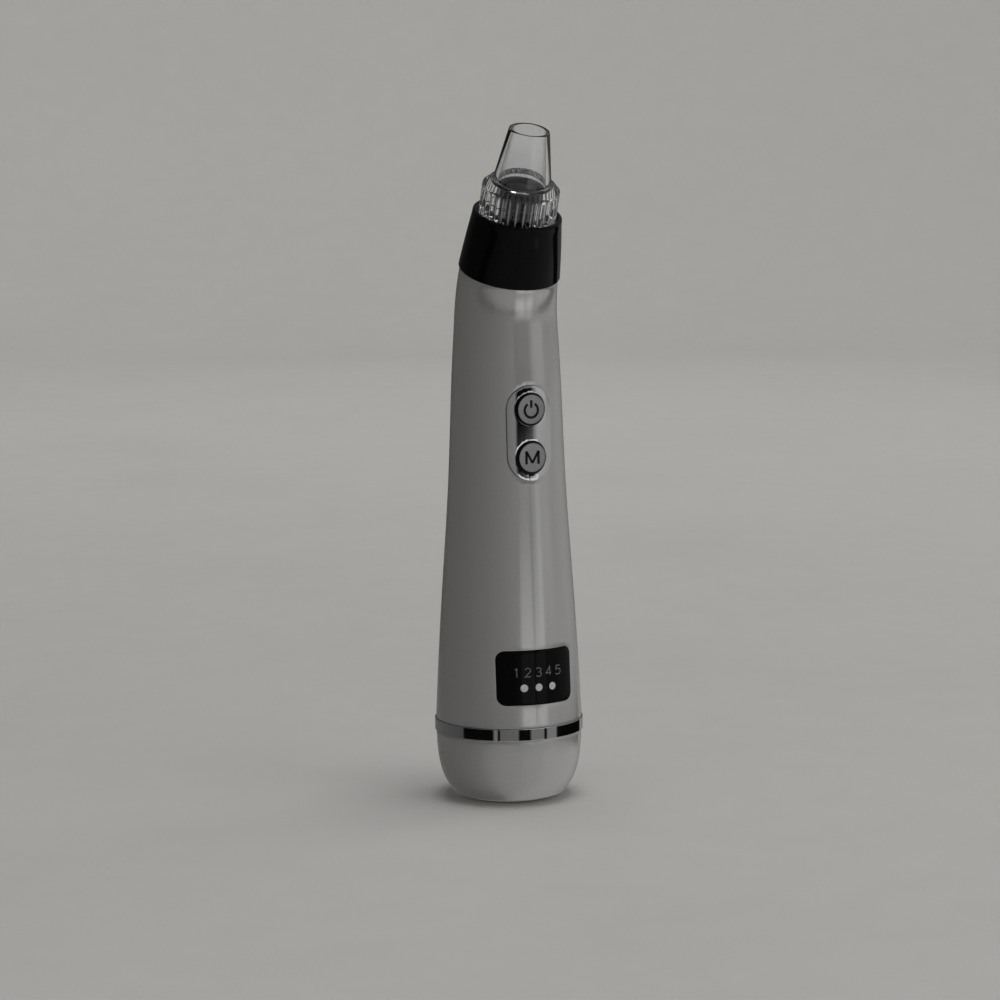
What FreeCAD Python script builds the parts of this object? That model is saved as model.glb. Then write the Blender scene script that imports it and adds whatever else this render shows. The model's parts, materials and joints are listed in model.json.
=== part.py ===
# Hand-held pore vacuum: a slim white battery handle.
# Its black neck leans forward and carries a clear suction probe.
# Frame: millimetres, +Z up, origin at the centre of the foot, front (buttons and display) towards -Y.
# The handle is a stack of round sections on a centre line that is upright, then bends forward by HEAD_TILT.
# Everything on the neck is drawn upright in the head's own frame, with z = 0 at the collar's lower edge.
import FreeCAD, Part
import math
import os

V = FreeCAD.Vector
X, Y, Z = V(1, 0, 0), V(0, 1, 0), V(0, 0, 1)
ORIGIN = V(0, 0, 0)

# Handle: outer radius at a few heights, then through the bend
BODY_BOTTOM = 24.05
BODY_RADII = [(BODY_BOTTOM, 21.95), (45, 20.9), (70, 19.25), (95, 17.6), (118, 16.65), (135, 15.85)]
BEND_START = 142.5
BEND_RADIUS = 47.1
HEAD_TILT = 19.5
BEND_SECTIONS = [(0.0, 15.4), (0.5, 15.05), (1.0, 14.65)]  # share of the bend, outer radius
WALL = 1.8

# Head, heights along its own axis
COLLAR_BOTTOM_R = 15.15
COLLAR_TOP_R = 13.3
COLLAR_HEIGHT = 18.6
COLLAR_LEDGE = 11.25
COLLAR_MOUTH_R = 11.95
SPIGOT_R = 12.4
SPIGOT_TOP = 9.0
BOSS_R = 8.2
BOSS_TOP = 26.5
PROBE_BOTTOM = 17.2
SHOULDER_BOTTOM = 26.2
SHOULDER_TOP = 28.6
RIM_HEIGHT = 44.4
SKIRT_R = 11.45
CONE_BASE_R = 8.6
RIM_R = 6.0
FLUTES = 32

# Base
FOOT_R = 13.0
CAP_BOTTOM = 0.4
CAP_TOP = 20.3
BAND_BOTTOM = 20.4
BAND_TOP = 24.0
BAND_R = 22.3
SPIGOT_BASE_R = 20.25

# Front controls
POWER_Z = 118.4
MODE_Z = 104.2
CAP_R = 4.45
PANEL_HOLE_R = 4.85
PANEL_SIZE = (14.1, 28.0)
PANEL_PROUD = 0.35
BUTTON_PROUD = 0.55
SWITCH_FACE_Y = -9.6
SWITCH_HEIGHT = 1.9
PLUNGER_TIP_Y = -12.65
WINDOW_Z = 39.1
WINDOW_SIZE = (24.4, 16.2)
LENS = 1.3

# Pump and motor, on one vertical axis
PUMP_Y = 3.5
MOTOR_BOTTOM = 29.8
MOTOR_TOP = 58.0
CAN_R = 12.1
PUMP_R = 12.6
CHAMBER_R = 9.6
NUTATION_Z = 69.0
NUTATION_TILT = 5.0
ARM_R = 6.4
ARM_TOP = -2.2
CUP_PEG_R = 0.9
SCREW_R = 11.1
PIN_R = 0.8
DIAPHRAGM_Z = 70.5
HOSE_X = -10.5
HOSE_R = 2.4
HOSE_BORE = 1.6
BARB_R = 1.55

# Cell and boards
CELL_R = 7.0
CELL_Y = 5.5
CELL_Z = (88.4, 136.9)
BOARD_Z = (92.0, 128.0)
BOARD_BACK = -8.35

GAP = 0.05


# ---- helpers ----

def tilt_placement(share):
    """Where the centre line stands after that share of the bend: its point and its lean."""
    angle = math.radians(HEAD_TILT * share)
    centre = V(0, -BEND_RADIUS * (1 - math.cos(angle)), BEND_START + BEND_RADIUS * math.sin(angle))
    return FreeCAD.Placement(centre, FreeCAD.Rotation(X, HEAD_TILT * share))


def moved(shape, placement):
    copy = shape.copy()
    copy.Placement = placement.multiply(copy.Placement)
    return copy


def in_head(shape):
    """Carries a shape from the head's own frame to the handle's."""
    return moved(shape, tilt_placement(1.0))


def on_pump_axis(shape):
    return moved(shape, FreeCAD.Placement(V(0, PUMP_Y, 0), FreeCAD.Rotation()))


def joined(first, *others):
    return first.fuse(list(others)).removeSplitter()


def outline(start, *steps):
    """Face in the XZ plane. A step is a point, or a list of points for a smooth curve through them."""
    edges, at = [], start
    for step in list(steps) + [start]:
        points = step if isinstance(step, list) else [step]
        ends = [V(x, 0, z) for x, z in [at] + points]
        if len(points) > 1:
            curve = Part.BSplineCurve()
            curve.interpolate(ends)
            edges.append(curve.toShape())
        elif (ends[0] - ends[1]).Length > 1e-6:
            edges.append(Part.LineSegment(*ends).toShape())
        at = points[-1]
    return Part.Face(Part.Wire(edges))


def turned(start, *steps):
    """Solid of revolution about Z from (radius, height) steps."""
    return outline(start, *steps).revolve(ORIGIN, Z, 360)


def rod(radius, low, high, x=0.0, y=0.0):
    return Part.makeCylinder(radius, high - low, V(x, y, low))


def tube(outer, inner, low, high, x=0.0, y=0.0):
    return rod(outer, low, high, x, y).cut(rod(inner, low - 1, high + 1, x, y))


def block(low, high):
    return Part.makeBox(high[0] - low[0], high[1] - low[1], high[2] - low[2], V(*low))


def around(shape, count, centre=ORIGIN, start=0.0):
    """Copies of a shape, evenly spaced about a vertical line."""
    copies = []
    for i in range(count):
        copy = shape.copy()
        copy.rotate(centre, Z, start + 360.0 * i / count)
        copies.append(copy)
    return copies


def across(radius, near_y, far_y, x, z):
    """Round bar along Y."""
    return Part.makeCylinder(radius, far_y - near_y, V(x, near_y, z), Y)


def rounded_prism(width, height, corner, centre_z, near_y=-26.0, far_y=-4.0):
    """Rounded rectangle in the XZ plane, pushed through the front of the handle."""
    corner = min(corner, width / 2 - 0.001)
    half, rise = width / 2, height / 2
    bars = [block((corner - half, near_y, centre_z - rise), (half - corner, far_y, centre_z + rise)),
            block((-half, near_y, centre_z - rise + corner), (half, far_y, centre_z + rise - corner))]
    for x in (corner - half, half - corner):
        for z in (corner - rise, rise - corner):
            bars.append(across(corner, near_y, far_y, x, centre_z + z))
    return joined(*bars)


HANDLE_CACHE = {}


def handle(offset=0.0):
    """Closed solid of the handle, its surface moved out by offset."""
    if offset not in HANDLE_CACHE:
        rings = [(FreeCAD.Placement(V(0, 0, z), FreeCAD.Rotation()), r) for z, r in BODY_RADII]
        rings += [(tilt_placement(share), r) for share, r in BEND_SECTIONS]
        wires = []
        for placement, radius in rings:
            wire = Part.Wire(Part.Circle(ORIGIN, Z, radius + offset).toShape())
            wires.append(moved(wire, placement))
        HANDLE_CACHE[offset] = Part.makeLoft(wires, True, False)
    return HANDLE_CACHE[offset]


def radius_at(z):
    """Handle's outer radius at a height, along straight lines between the driving sections."""
    for (z0, r0), (z1, r1) in zip(BODY_RADII, BODY_RADII[1:]):
        if z0 <= z <= z1:
            return r0 + (r1 - r0) * (z - z0) / (z1 - z0)
    raise ValueError(z)


def cord_path(points, bend=0.45):
    """Straight runs joined by tangent arcs, each as large as its two runs allow."""
    points = [V(*p) for p in points]
    edges, at = [], points[0]
    for before, corner, after in zip(points, points[1:], points[2:]):
        back, ahead = (before - corner), (after - corner)
        reach = bend * min(back.Length, ahead.Length)
        back.normalize()
        ahead.normalize()
        start, end = corner + back * reach, corner + ahead * reach
        bisector = back + ahead
        bisector.normalize()
        half = math.acos(max(-1.0, min(1.0, back.dot(ahead)))) / 2
        radius = reach * math.tan(half)
        middle = corner + bisector * (radius / math.sin(half) - radius)
        if (start - at).Length > 1e-6:
            edges.append(Part.LineSegment(at, start).toShape())
        edges.append(Part.Arc(start, middle, end).toShape())
        at = end
    edges.append(Part.LineSegment(at, points[-1]).toShape())
    return Part.Wire(edges)


def swept(points, radius):
    path = cord_path(points)
    direction = V(*points[1]) - V(*points[0])
    ring = Part.Wire(Part.Circle(V(*points[0]), direction, radius).toShape())
    return path.makePipeShell([ring], True, True)


def head_point(x, y, z):
    return tuple(tilt_placement(1.0).multVec(V(x, y, z)))


# ---- head ----

def suction_probe():
    """Clear probe: fluted skirt, sloping shoulder and tapering cup, one moulding."""
    body = turned((8.45, PROBE_BOTTOM), (SKIRT_R - 0.3, PROBE_BOTTOM), (SKIRT_R, PROBE_BOTTOM + 0.4),
                  (SKIRT_R, SHOULDER_BOTTOM), (SKIRT_R - 0.5, SHOULDER_BOTTOM + 0.6),
                  (CONE_BASE_R + 0.95, SHOULDER_TOP), (CONE_BASE_R + 0.25, SHOULDER_TOP),
                  (CONE_BASE_R - 0.05, SHOULDER_TOP + 0.35),
                  (RIM_R + 0.02, RIM_HEIGHT - 0.45),
                  [(RIM_R - 0.12, RIM_HEIGHT - 0.12), (RIM_R - 0.45, RIM_HEIGHT)],
                  [(RIM_R - 0.85, RIM_HEIGHT - 0.15), (RIM_R - 1.0, RIM_HEIGHT - 0.5)],
                  (CONE_BASE_R - 1.2, SHOULDER_BOTTOM + 0.8), (8.45, SHOULDER_BOTTOM + 0.8))
    flute = rod(0.62, PROBE_BOTTOM - 1, SHOULDER_BOTTOM - 0.2, SKIRT_R + 0.25)
    return in_head(body.cut(Part.makeCompound(around(flute, FLUTES))))


def probe_seal():
    """O-ring in the groove of the nozzle."""
    section = 0.6
    return in_head(Part.makeTorus(BOSS_R + 0.22 - section, section, V(0, 0, 21.6)))


def nozzle():
    """Black nozzle: hose barb, clamped flange and the boss that the probe pushes onto."""
    bore, neck = 0.8, BARB_R - 0.35
    body = turned((bore, 2.8), (neck, 2.8), (BARB_R, 4.2), (neck, 4.2), (neck, 5.6), (BARB_R, 7.0),
                  (neck, 7.0), (neck, SPIGOT_TOP), (SPIGOT_R - 0.05, SPIGOT_TOP),
                  (SPIGOT_R - 0.05, 11.0), (BOSS_R, 11.0), (BOSS_R, 20.9), (BOSS_R - 1.05, 20.9),
                  (BOSS_R - 1.05, 22.3), (BOSS_R, 22.3), (BOSS_R, BOSS_TOP - 0.5), (BOSS_R - 0.5, BOSS_TOP),
                  (5.6, BOSS_TOP), (5.6, 22.6), (bore, 22.6))
    wire_hole = rod(1.0, SPIGOT_TOP - 1, 12, 10.0)
    return in_head(body.cut(wire_hole))


def filter_sponge():
    return in_head(turned((0, 22.65), (5.5, 22.65), (5.5, 25.2), [(5.1, 25.6), (4.4, 25.7)], (0, 25.7)))


def head_collar():
    """Glossy black neck ring over the handle's spigot. Its ledge traps the nozzle's flange."""
    return in_head(turned((SPIGOT_R + GAP, 0), (COLLAR_BOTTOM_R - 0.25, 0), (COLLAR_BOTTOM_R, 0.3),
                          [(14.3, 9.0), (COLLAR_TOP_R, 17.3)],
                          [(COLLAR_TOP_R - 0.3, 18.2), (COLLAR_TOP_R - 1.0, COLLAR_HEIGHT)],
                          (COLLAR_MOUTH_R, COLLAR_HEIGHT), (COLLAR_MOUTH_R, COLLAR_LEDGE),
                          (SPIGOT_R + GAP, COLLAR_LEDGE)))


def led_board():
    ring = tube(11.75, BOSS_R + 0.3, 11.1, 12.1)
    return in_head(ring.cut(rod(0.9, 10, 13, 10.0)))


def head_leds():
    chip = block((9.3, -0.9, 12.15), (10.9, 0.9, 12.95))
    return in_head(Part.makeCompound(around(chip, 6, start=30)))


def light_guide():
    """Frosted ring that spreads the LEDs' light into the probe's skirt."""
    inner, outer = BOSS_R + 0.3, 11.75
    return in_head(turned((inner, 13.2), (outer, 13.2), (outer, 16.6), (outer - 0.4, 17.0), (inner, 17.0)))


# ---- shells and base ----

def whole_shell():
    """Both halves of the handle in one, with the neck and base spigots."""
    shell = handle(0.0).cut(handle(-WALL))
    neck = turned((SPIGOT_R - 1.4, -3.5), (SPIGOT_R + 0.9, -3.5), (SPIGOT_R + 1.0, -0.5), (SPIGOT_R, -0.5),
                  (SPIGOT_R, SPIGOT_TOP - GAP), (SPIGOT_R - 1.4, SPIGOT_TOP - GAP))
    base = turned((18.8, 17.0), (SPIGOT_BASE_R, 17.0), (SPIGOT_BASE_R, BODY_BOTTOM), (20.9, BODY_BOTTOM),
                  (20.9, 27.0), (20.0, 29.5), (18.8, 27.0))
    return joined(shell, in_head(neck), base)


def rear_side():
    """Everything behind the handle's centre line, which follows the bend."""
    end = tilt_placement(1.0)
    middle = tilt_placement(0.5)
    above = end.multVec(V(0, 0, 30))
    edges = [Part.LineSegment(V(0, 0, 10), V(0, 0, BEND_START)).toShape(),
             Part.Arc(V(0, 0, BEND_START), middle.Base, end.Base).toShape(),
             Part.LineSegment(end.Base, above).toShape(),
             Part.makePolygon([above, V(0, 60, 190), V(0, 60, 10), V(0, 0, 10)])]
    face = Part.Face(Part.Wire([e for shape in edges for e in shape.Edges]))
    face.translate(X * -30)
    return face.extrude(X * 60)


def panel_prism(grow=0.0):
    width, height = PANEL_SIZE[0] + grow, PANEL_SIZE[1] + grow
    return rounded_prism(width, height, width / 2, (POWER_Z + MODE_Z) / 2)


def window_prism(grow=0.0):
    return rounded_prism(WINDOW_SIZE[0] + grow, WINDOW_SIZE[1] + grow, 2.6 + grow / 2, WINDOW_Z)


def front_shell(shell):
    """Front half with the panel's recess, the button holes and the stepped window opening."""
    front = shell.cut(rear_side())
    panel_recess = panel_prism(0.3).cut(handle(-0.6))
    window_recess = window_prism(0.2).cut(handle(-LENS - GAP))
    cuts = [panel_recess, window_recess, window_prism(-3.0)]
    cuts += [across(PANEL_HOLE_R + 0.1, -20, -10, 0, z) for z in (POWER_Z, MODE_Z)]
    for tool in cuts:
        front = front.cut(tool)
    return front


def rear_shell(shell):
    """Rear half with the pump's outlet slots."""
    rear = shell.common(rear_side())
    for z in (33.0, 36.0, 39.0):
        ends = [across(0.6, 15, 25, x, z) for x in (-4, 4)]
        rear = rear.cut(joined(block((-4, 15, z - 0.6), (4, 25, z + 0.6)), *ends))
    return rear


def chrome_band():
    return turned((SPIGOT_BASE_R + GAP, BAND_BOTTOM), (BAND_R - 0.45, BAND_BOTTOM),
                  [(BAND_R - 0.12, BAND_BOTTOM + 0.14), (BAND_R, BAND_BOTTOM + 0.5)],
                  (BAND_R, BAND_TOP - 0.5), [(BAND_R - 0.12, BAND_TOP - 0.14), (BAND_R - 0.45, BAND_TOP)],
                  (SPIGOT_BASE_R + GAP, BAND_TOP))


LEG_X = 9.5
LEG_Y = -3.0
LEG_BOTTOM = 4.2
BASE_SCREW_R = 0.95
PORT_Z = 11.3
CHARGE_BOARD_Z = 8.2


def port_prism(grow, near_y, far_y):
    """Racetrack section of the charging socket, along Y."""
    width, height = 8.9 + grow, 3.2 + grow
    straight = width / 2 - height / 2
    return joined(block((-straight, near_y, PORT_Z - height / 2), (straight, far_y, PORT_Z + height / 2)),
                  *[across(height / 2, near_y, far_y, x, PORT_Z) for x in (-straight, straight)])


def base_cap():
    """White cup that closes the handle, with the foot's recess, two screw bosses and the charging hole."""
    cup = turned((0, 1.45), (FOOT_R + 0.1, 1.45), (FOOT_R + 0.1, CAP_BOTTOM), (13.9, CAP_BOTTOM),
                 [(16.7, 1.35), (18.85, 4.5), (20.7, 9.3), (21.55, 14.4), (21.85, CAP_TOP - 0.3)],
                 (21.6, CAP_TOP),
                 (SPIGOT_BASE_R + GAP, CAP_TOP), (SPIGOT_BASE_R + GAP, 16.9), (19.6, 16.0),
                 [(18.85, 9.6), (16.8, 5.0), (13.6, 3.2)], (0, 3.2))
    bosses = [rod(3.2, 2.5, LEG_BOTTOM - GAP, x, LEG_Y) for x in (-LEG_X, LEG_X)]
    bosses += [rod(1.3, 2.5, CHARGE_BOARD_Z - GAP, x, 8.0) for x in (-5.5, 5.5)]
    cup = joined(cup, *bosses)
    for x in (-LEG_X, LEG_X):
        cup = cup.cut(rod(2.1, 1.0, 2.9, x, LEG_Y)).cut(rod(BASE_SCREW_R + 0.1, 1.0, 6.0, x, LEG_Y))
    return cup.cut(port_prism(0.5, 12.0, 24.0))


def foot_pad():
    return turned((0, 0), (FOOT_R - 0.4, 0), (FOOT_R, 0.4), (FOOT_R, 1.4), (0, 1.4))


def base_screws():
    screws = []
    for x in (-LEG_X, LEG_X):
        head = rod(1.9, 1.5, 2.85, x, LEG_Y)
        for wide, deep in ((1.2, 0.25), (0.25, 1.2)):
            head = head.cut(block((x - wide, LEG_Y - deep, 1.0), (x + wide, LEG_Y + deep, 2.2)))
        screws.append(joined(head, rod(BASE_SCREW_R, 2.8, 11.0, x, LEG_Y)))
    return Part.makeCompound(screws)


# ---- front controls ----

def button_panel():
    """Polished capsule plate that follows the handle's round."""
    plate = panel_prism().common(handle(PANEL_PROUD)).cut(handle(-0.55))
    for z in (POWER_Z, MODE_Z):
        plate = plate.cut(across(PANEL_HOLE_R, -22, -8, 0, z))
    return plate


def button(z):
    """Round cap with a rolled edge and a hidden flange that stops it under the shell."""
    face_y = -(radius_at(z) + PANEL_PROUD + BUTTON_PROUD)
    inner_wall = radius_at(z) - WALL
    flange_r = 5.7
    flange_y = -math.sqrt(inner_wall ** 2 - flange_r ** 2) + 0.12
    stem_end, flange, face = GAP - PLUNGER_TIP_Y, -flange_y, -face_y
    cap = turned((0, stem_end), (2.0, stem_end), (2.0, flange - 0.7), (flange_r, flange - 0.7),
                 (flange_r, flange), (CAP_R, flange), (CAP_R, face - 0.4),
                 [(CAP_R - 0.12, face - 0.12), (CAP_R - 0.4, face)], (0, face - 0.06))
    cap.rotate(ORIGIN, X, 90)
    cap.translate(Z * z)
    return cap


def switch_body(z):
    body = block((-2.6, SWITCH_FACE_Y - SWITCH_HEIGHT, z - 2.6), (2.6, SWITCH_FACE_Y - GAP, z + 2.6))
    return body.cut(across(1.4, SWITCH_FACE_Y - SWITCH_HEIGHT - 1, SWITCH_FACE_Y - 0.7, 0, z))


def plunger(z):
    return across(1.3, PLUNGER_TIP_Y, SWITCH_FACE_Y - 1.35, 0, z)


def display_window():
    """Smoked lens, flush with the shell."""
    return window_prism(0.0).common(handle(0.0)).cut(handle(-LENS))


DISPLAY_BOARD_Y = (-15.3, -14.3)
DIGIT_X = [-6.8, -3.4, 0.0, 3.4, 6.8]
DOT_X = [-4.6, 0.0, 4.6]
DIGIT_Z = 40.7
DOT_Z = 36.1


def display_cells():
    return [(x, DIGIT_Z) for x in DIGIT_X] + [(x, DOT_Z) for x in DOT_X]


def display_mask():
    """White block behind the lens with one light well for each figure and dot."""
    width, height = WINDOW_SIZE[0] - 3.2, WINDOW_SIZE[1] - 3.2
    mask = rounded_prism(width, height, 1.0, WINDOW_Z, -26, -16.2).common(handle(-LENS - 0.1))
    for x, z in display_cells():
        mask = mask.cut(across(1.25, -26, -10, x, z))
    return mask


def display_board():
    near, far = DISPLAY_BOARD_Y
    return block((-11.2, near, WINDOW_Z - 7.0), (11.2, far, WINDOW_Z + 7.0))


def display_leds():
    near = DISPLAY_BOARD_Y[0]
    low, high = near - 0.75, near - GAP
    chips = [block((x - 0.8, low, z - 0.4), (x + 0.8, high, z + 0.4)) for x, z in display_cells()]
    return Part.makeCompound(chips)


def display_ribbon():
    """Flat flex from the back of the display board, up past the pump, to the main board's front."""
    width, thick = 6.0, 0.2
    path = [(-14.2, 41.0), (-14.2, 46.4), (-12.9, 49.0), (-12.9, 86.0), (-11.4, 90.0), (-9.9, 93.0),
            (-9.9, 95.5)]
    back = [(y + thick, z) for y, z in reversed(path)]
    section = Part.Face(Part.makePolygon([V(-width / 2, y, z) for y, z in path + back + path[:1]]))
    return section.extrude(X * width)


# ---- frame, boards and cell ----

def inner_frame():
    """Carrier for the pump, the cell and the main board. It is screwed to the base."""
    plate = block((-10, -4.2, 85.5), (10, -2.6, 139))
    floor = rod(16.0, 84.0, 86.0)
    ring = rod(18.3, 27.2, MOTOR_BOTTOM - 0.1).cut(rod(9.6, 20, 40, 0, PUMP_Y))
    posts = [rod(1.7, 28, 85, x, -3.0) for x in (-14.0, 14.0)]
    legs = [rod(2.4, LEG_BOTTOM, 28.0, x, LEG_Y) for x in (-LEG_X, LEG_X)]
    clamps, ribs = [], []
    for low in (34.0, 50.0):
        clamps.append(tube(13.6, CAN_R + 0.1, low, low + 3.0, 0, PUMP_Y))
        for x in (-14.2, 12.4):
            bridge = block((x, -4.2, low), (x + 1.8, -1.8, low + 3.0))
            clamps.append(bridge.cut(rod(CAN_R + 0.1, 0, 90, 0, PUMP_Y)))
    for low in (95.0, 126.0):
        rib = tube(8.2, CELL_R + 0.15, low, low + 3.0, 0, CELL_Y)
        ribs.append(rib.cut(block((-5.2, CELL_Y + 3, low - 1), (5.2, CELL_Y + 12, low + 4))))
    pillars = [across(2.0, -8.4 + GAP, -3.4, x, z) for x in (-7.0, 7.0) for z in (95.0, 125.0)]
    frame = joined(plate, floor, ring, *(posts + legs + clamps + ribs + pillars))
    holes = [rod(HOSE_R + 0.2, 80, 90, HOSE_X, PUMP_Y), rod(CELL_R + 0.15, 87.0, 140, 0, CELL_Y)]
    holes += [block((-5, -20, 80), (5, -10.5, 90)), block((-11.5, -19, 26), (11.5, -13.2, 31))]
    for near, far in ((12.4, 20.0), (-20.0, -12.4)):
        holes += [block((near, 1.0, 26), (far, 8.0, 31)), block((near, 1.0, 80), (far, 8.0, 90))]
    holes += [across(0.75, -10, -3.8, x, z) for x in (-7.0, 7.0) for z in (95.0, 125.0)]
    holes += [rod(BASE_SCREW_R + GAP, 0, 12.0, x, LEG_Y) for x in (-LEG_X, LEG_X)]
    for hole in holes:
        frame = frame.cut(hole)
    return frame


def main_board():
    low, high = BOARD_Z
    board = block((-8.9, SWITCH_FACE_Y, low), (8.9, -8.4, high))
    for x in (-7.0, 7.0):
        for z in (95.0, 125.0):
            board = board.cut(across(1.1, -11, -7, x, z))
    return board


def board_chips():
    """Driver, charger and boost parts on the board's two faces."""
    front = SWITCH_FACE_Y
    parts = [((-3.0, front - 1.2, 96.0), (3.0, front - GAP, 100.0)),
             ((3.6, front - 0.9, 109.5), (6.6, front - GAP, 112.5)),
             ((-6.6, front - 0.9, 109.0), (-3.6, front - GAP, 112.0)),
             ((-8.0, BOARD_BACK, 100.0), (-4.5, -6.4, 106.0)),
             ((-2.0, BOARD_BACK, 110.0), (3.5, -6.0, 116.0)),
             ((2.0, BOARD_BACK, 100.0), (5.0, -6.9, 103.0))]
    return Part.makeCompound([block(low, high) for low, high in parts])


def board_screws():
    screws = []
    for x in (-7.0, 7.0):
        for z in (95.0, 125.0):
            head = across(1.7, SWITCH_FACE_Y - 1.2, SWITCH_FACE_Y - GAP, x, z)
            slot = block((x - 1.1, SWITCH_FACE_Y - 2, z - 0.2), (x + 1.1, SWITCH_FACE_Y - 0.7, z + 0.2))
            head = head.cut(slot)
            screws.append(joined(head, across(0.7, SWITCH_FACE_Y - 0.5, -4.6, x, z)))
    return Part.makeCompound(screws)


def battery_cell():
    low, high = CELL_Z
    cell = turned((0, low), (CELL_R - 0.5, low), (CELL_R, low + 0.5), (CELL_R, high - 1.3),
                  (CELL_R - 0.8, high - 0.8), (3.0, high - 0.8), (3.0, high), (0, high))
    return moved(cell, FreeCAD.Placement(V(0, CELL_Y, 0), FreeCAD.Rotation()))


def battery_tabs():
    low, high = CELL_Z
    top = block((-2, CELL_Y - 4.5, high + GAP), (2, CELL_Y + 2, high + 0.25))
    bottom = block((-2, CELL_Y - 4.5, low - 0.25), (2, CELL_Y + 2, low - GAP))
    return Part.makeCompound([top, bottom])


def battery_leads():
    """Plus over the top of the carrier, minus round its left edge, both to the board's back."""
    plus = [(0, 2.5, CELL_Z[1] + 0.3), (0, 2.5, 141.2), (0, -5.9, 141.2), (0, -5.9, 120.0),
            (0, BOARD_BACK, 120.0)]
    minus = [(0, 0.0, 87.5), (-11.8, -0.6, 87.5), (-11.8, -6.2, 90.0), (-10.0, -6.4, 98.4),
             (-7.8, -6.4, 98.4), (-7.8, BOARD_BACK, 98.4)]
    return Part.makeCompound([swept(plus, 0.5), swept(minus, 0.5)])


def charge_board():
    """Board on two posts of the cap, with its rear corners cut to clear the cap's wall."""
    board = block((-8.0, 6.0, CHARGE_BOARD_Z), (8.0, 17.0, PORT_Z - 1.6 - GAP))
    for near, far in ((-9, -5.6), (5.6, 9)):
        board = board.cut(block((near, 15.4, 0), (far, 18, 20)))
    return board


def charge_port():
    """Drawn-steel socket shell, open to the rear."""
    return port_prism(0.0, 12.2, 19.6).cut(port_prism(-0.6, 13.0, 25.0))


def port_tongue():
    return block((-3.3, 13.05, PORT_Z - 0.35), (3.3, 18.6, PORT_Z + 0.35))


# ---- motor and pump ----

def motor_can():
    can = turned((3.1, MOTOR_TOP - 1.0), (11.3, MOTOR_TOP - 1.0), (11.3, 31.6), (CAN_R, 31.6),
                 (CAN_R, MOTOR_TOP - 0.8), [(CAN_R - 0.25, MOTOR_TOP - 0.2), (CAN_R - 0.8, MOTOR_TOP)],
                 (3.1, MOTOR_TOP))
    for x in (-8.0, 8.0):
        can = can.cut(rod(0.85, 50, 60, x))
    return on_pump_axis(can)


def motor_end_bell():
    bell = turned((2.9, MOTOR_BOTTOM), (12.0, MOTOR_BOTTOM), (12.0, 31.55), (11.2, 31.55), (11.2, 34.0),
                  (9.8, 34.0),
                  (9.8, 31.6), (4.4, 31.6), (4.4, 33.2), (2.9, 33.2))
    for x in (-7.0, 7.0):
        bell = bell.cut(block((x - 0.35, -1.3, 28), (x + 0.35, 1.3, 33)))
    return on_pump_axis(bell)


def motor_magnets():
    ring = tube(11.2, 9.3, 36.0, 55.5)
    return on_pump_axis(ring.cut(block((-3.5, -20, 30), (3.5, 20, 60))))


def motor_bushes():
    low = tube(2.85, 1.03, 30.4, 33.4)
    high = joined(tube(3.05, 1.03, 56.2, 58.4), tube(4.2, 1.03, 55.9, 56.9))
    return on_pump_axis(Part.makeCompound([low, high]))


def motor_terminals():
    blades = [block((x - 0.3, -1.2, 26.4), (x + 0.3, 1.2, 34.4)) for x in (-7.0, 7.0)]
    return on_pump_axis(Part.makeCompound(blades))


def motor_brushes():
    arms = []
    for side in (-1, 1):
        near, far = sorted((side * 2.62, side * 4.2))
        low, high = sorted((side * 4.2, side * 6.65))
        carbon = block((near, -1.0, 34.8), (far, 1.0, 36.2))
        spring = block((low, -0.8, 35.2), (high, 0.8, 35.5))
        arms.append(joined(carbon, spring))
    return on_pump_axis(Part.makeCompound(arms))


SHAFT_TOP = 64.2


def rotor_shaft():
    low, high = 30.2, SHAFT_TOP
    shaft = turned((0, low), (0.8, low), (1.0, low + 0.2), (1.0, high - 0.2), (0.8, high), (0, high))
    return on_pump_axis(shaft)


def armature_core():
    """Three-pole stack of laminations."""
    hub = rod(3.1, 38.2, 53.2)
    arm = block((0, -1.6, 38.2), (8.0, 1.6, 53.2))
    shoe = tube(8.8, 7.4, 38.2, 53.2)
    gap = block((0, -0.9, 30), (10, 0.9, 60))
    shoes = shoe.cut(Part.makeCompound(around(gap, 3, start=60)))
    return on_pump_axis(joined(hub, shoes, *around(arm, 3)).cut(rod(1.0 + GAP / 2, 30, 60)))


def armature_windings():
    coil = block((3.5, -4.1, 36.9), (7.2, 4.1, 54.5)).cut(block((2, -1.65, 38.1), (9, 1.65, 53.3)))
    coil = coil.common(rod(7.3, 30, 60))
    return on_pump_axis(Part.makeCompound(around(coil, 3)))


def commutator():
    ring = tube(2.5, 1.0 + GAP / 2, 34.4, 36.7)
    slit = block((2.1, -0.12, 34), (3.0, 0.12, 36.3))
    return on_pump_axis(ring.cut(Part.makeCompound(around(slit, 3, start=60))))


def nutation_placement():
    """The wobble plate's frame: centred on the nutation point, leaning with the crank pin."""
    return FreeCAD.Placement(V(0, PUMP_Y, NUTATION_Z), FreeCAD.Rotation(X, NUTATION_TILT))


def drive_hub():
    """Hub on the motor shaft, closed at the top, with the slanting crank pin."""
    bore, top = 1.0 + GAP / 2, 64.6
    hub = turned((bore, 60.4), (4.2, 60.4), (4.4, 60.6), (4.4, 64.2), (4.2, 64.4), (3.2, top), (0, top),
                 (0, SHAFT_TOP + GAP), (bore, SHAFT_TOP + GAP))
    pin = moved(rod(PIN_R, -4.6, -1.9), nutation_placement())
    return joined(on_pump_axis(hub), pin)


def wobble_plate():
    """Three-armed plate that nods in turn on each pumping cup and never spins."""
    low = ARM_TOP - 1.4
    arm = joined(block((0, -1.6, low), (ARM_R, 1.6, ARM_TOP)), rod(2.0, low, ARM_TOP, ARM_R))
    plate = joined(rod(2.5, low - 0.45, ARM_TOP), *around(arm, 3)).cut(rod(PIN_R + GAP, -10, 5))
    return moved(plate, nutation_placement())


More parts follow.
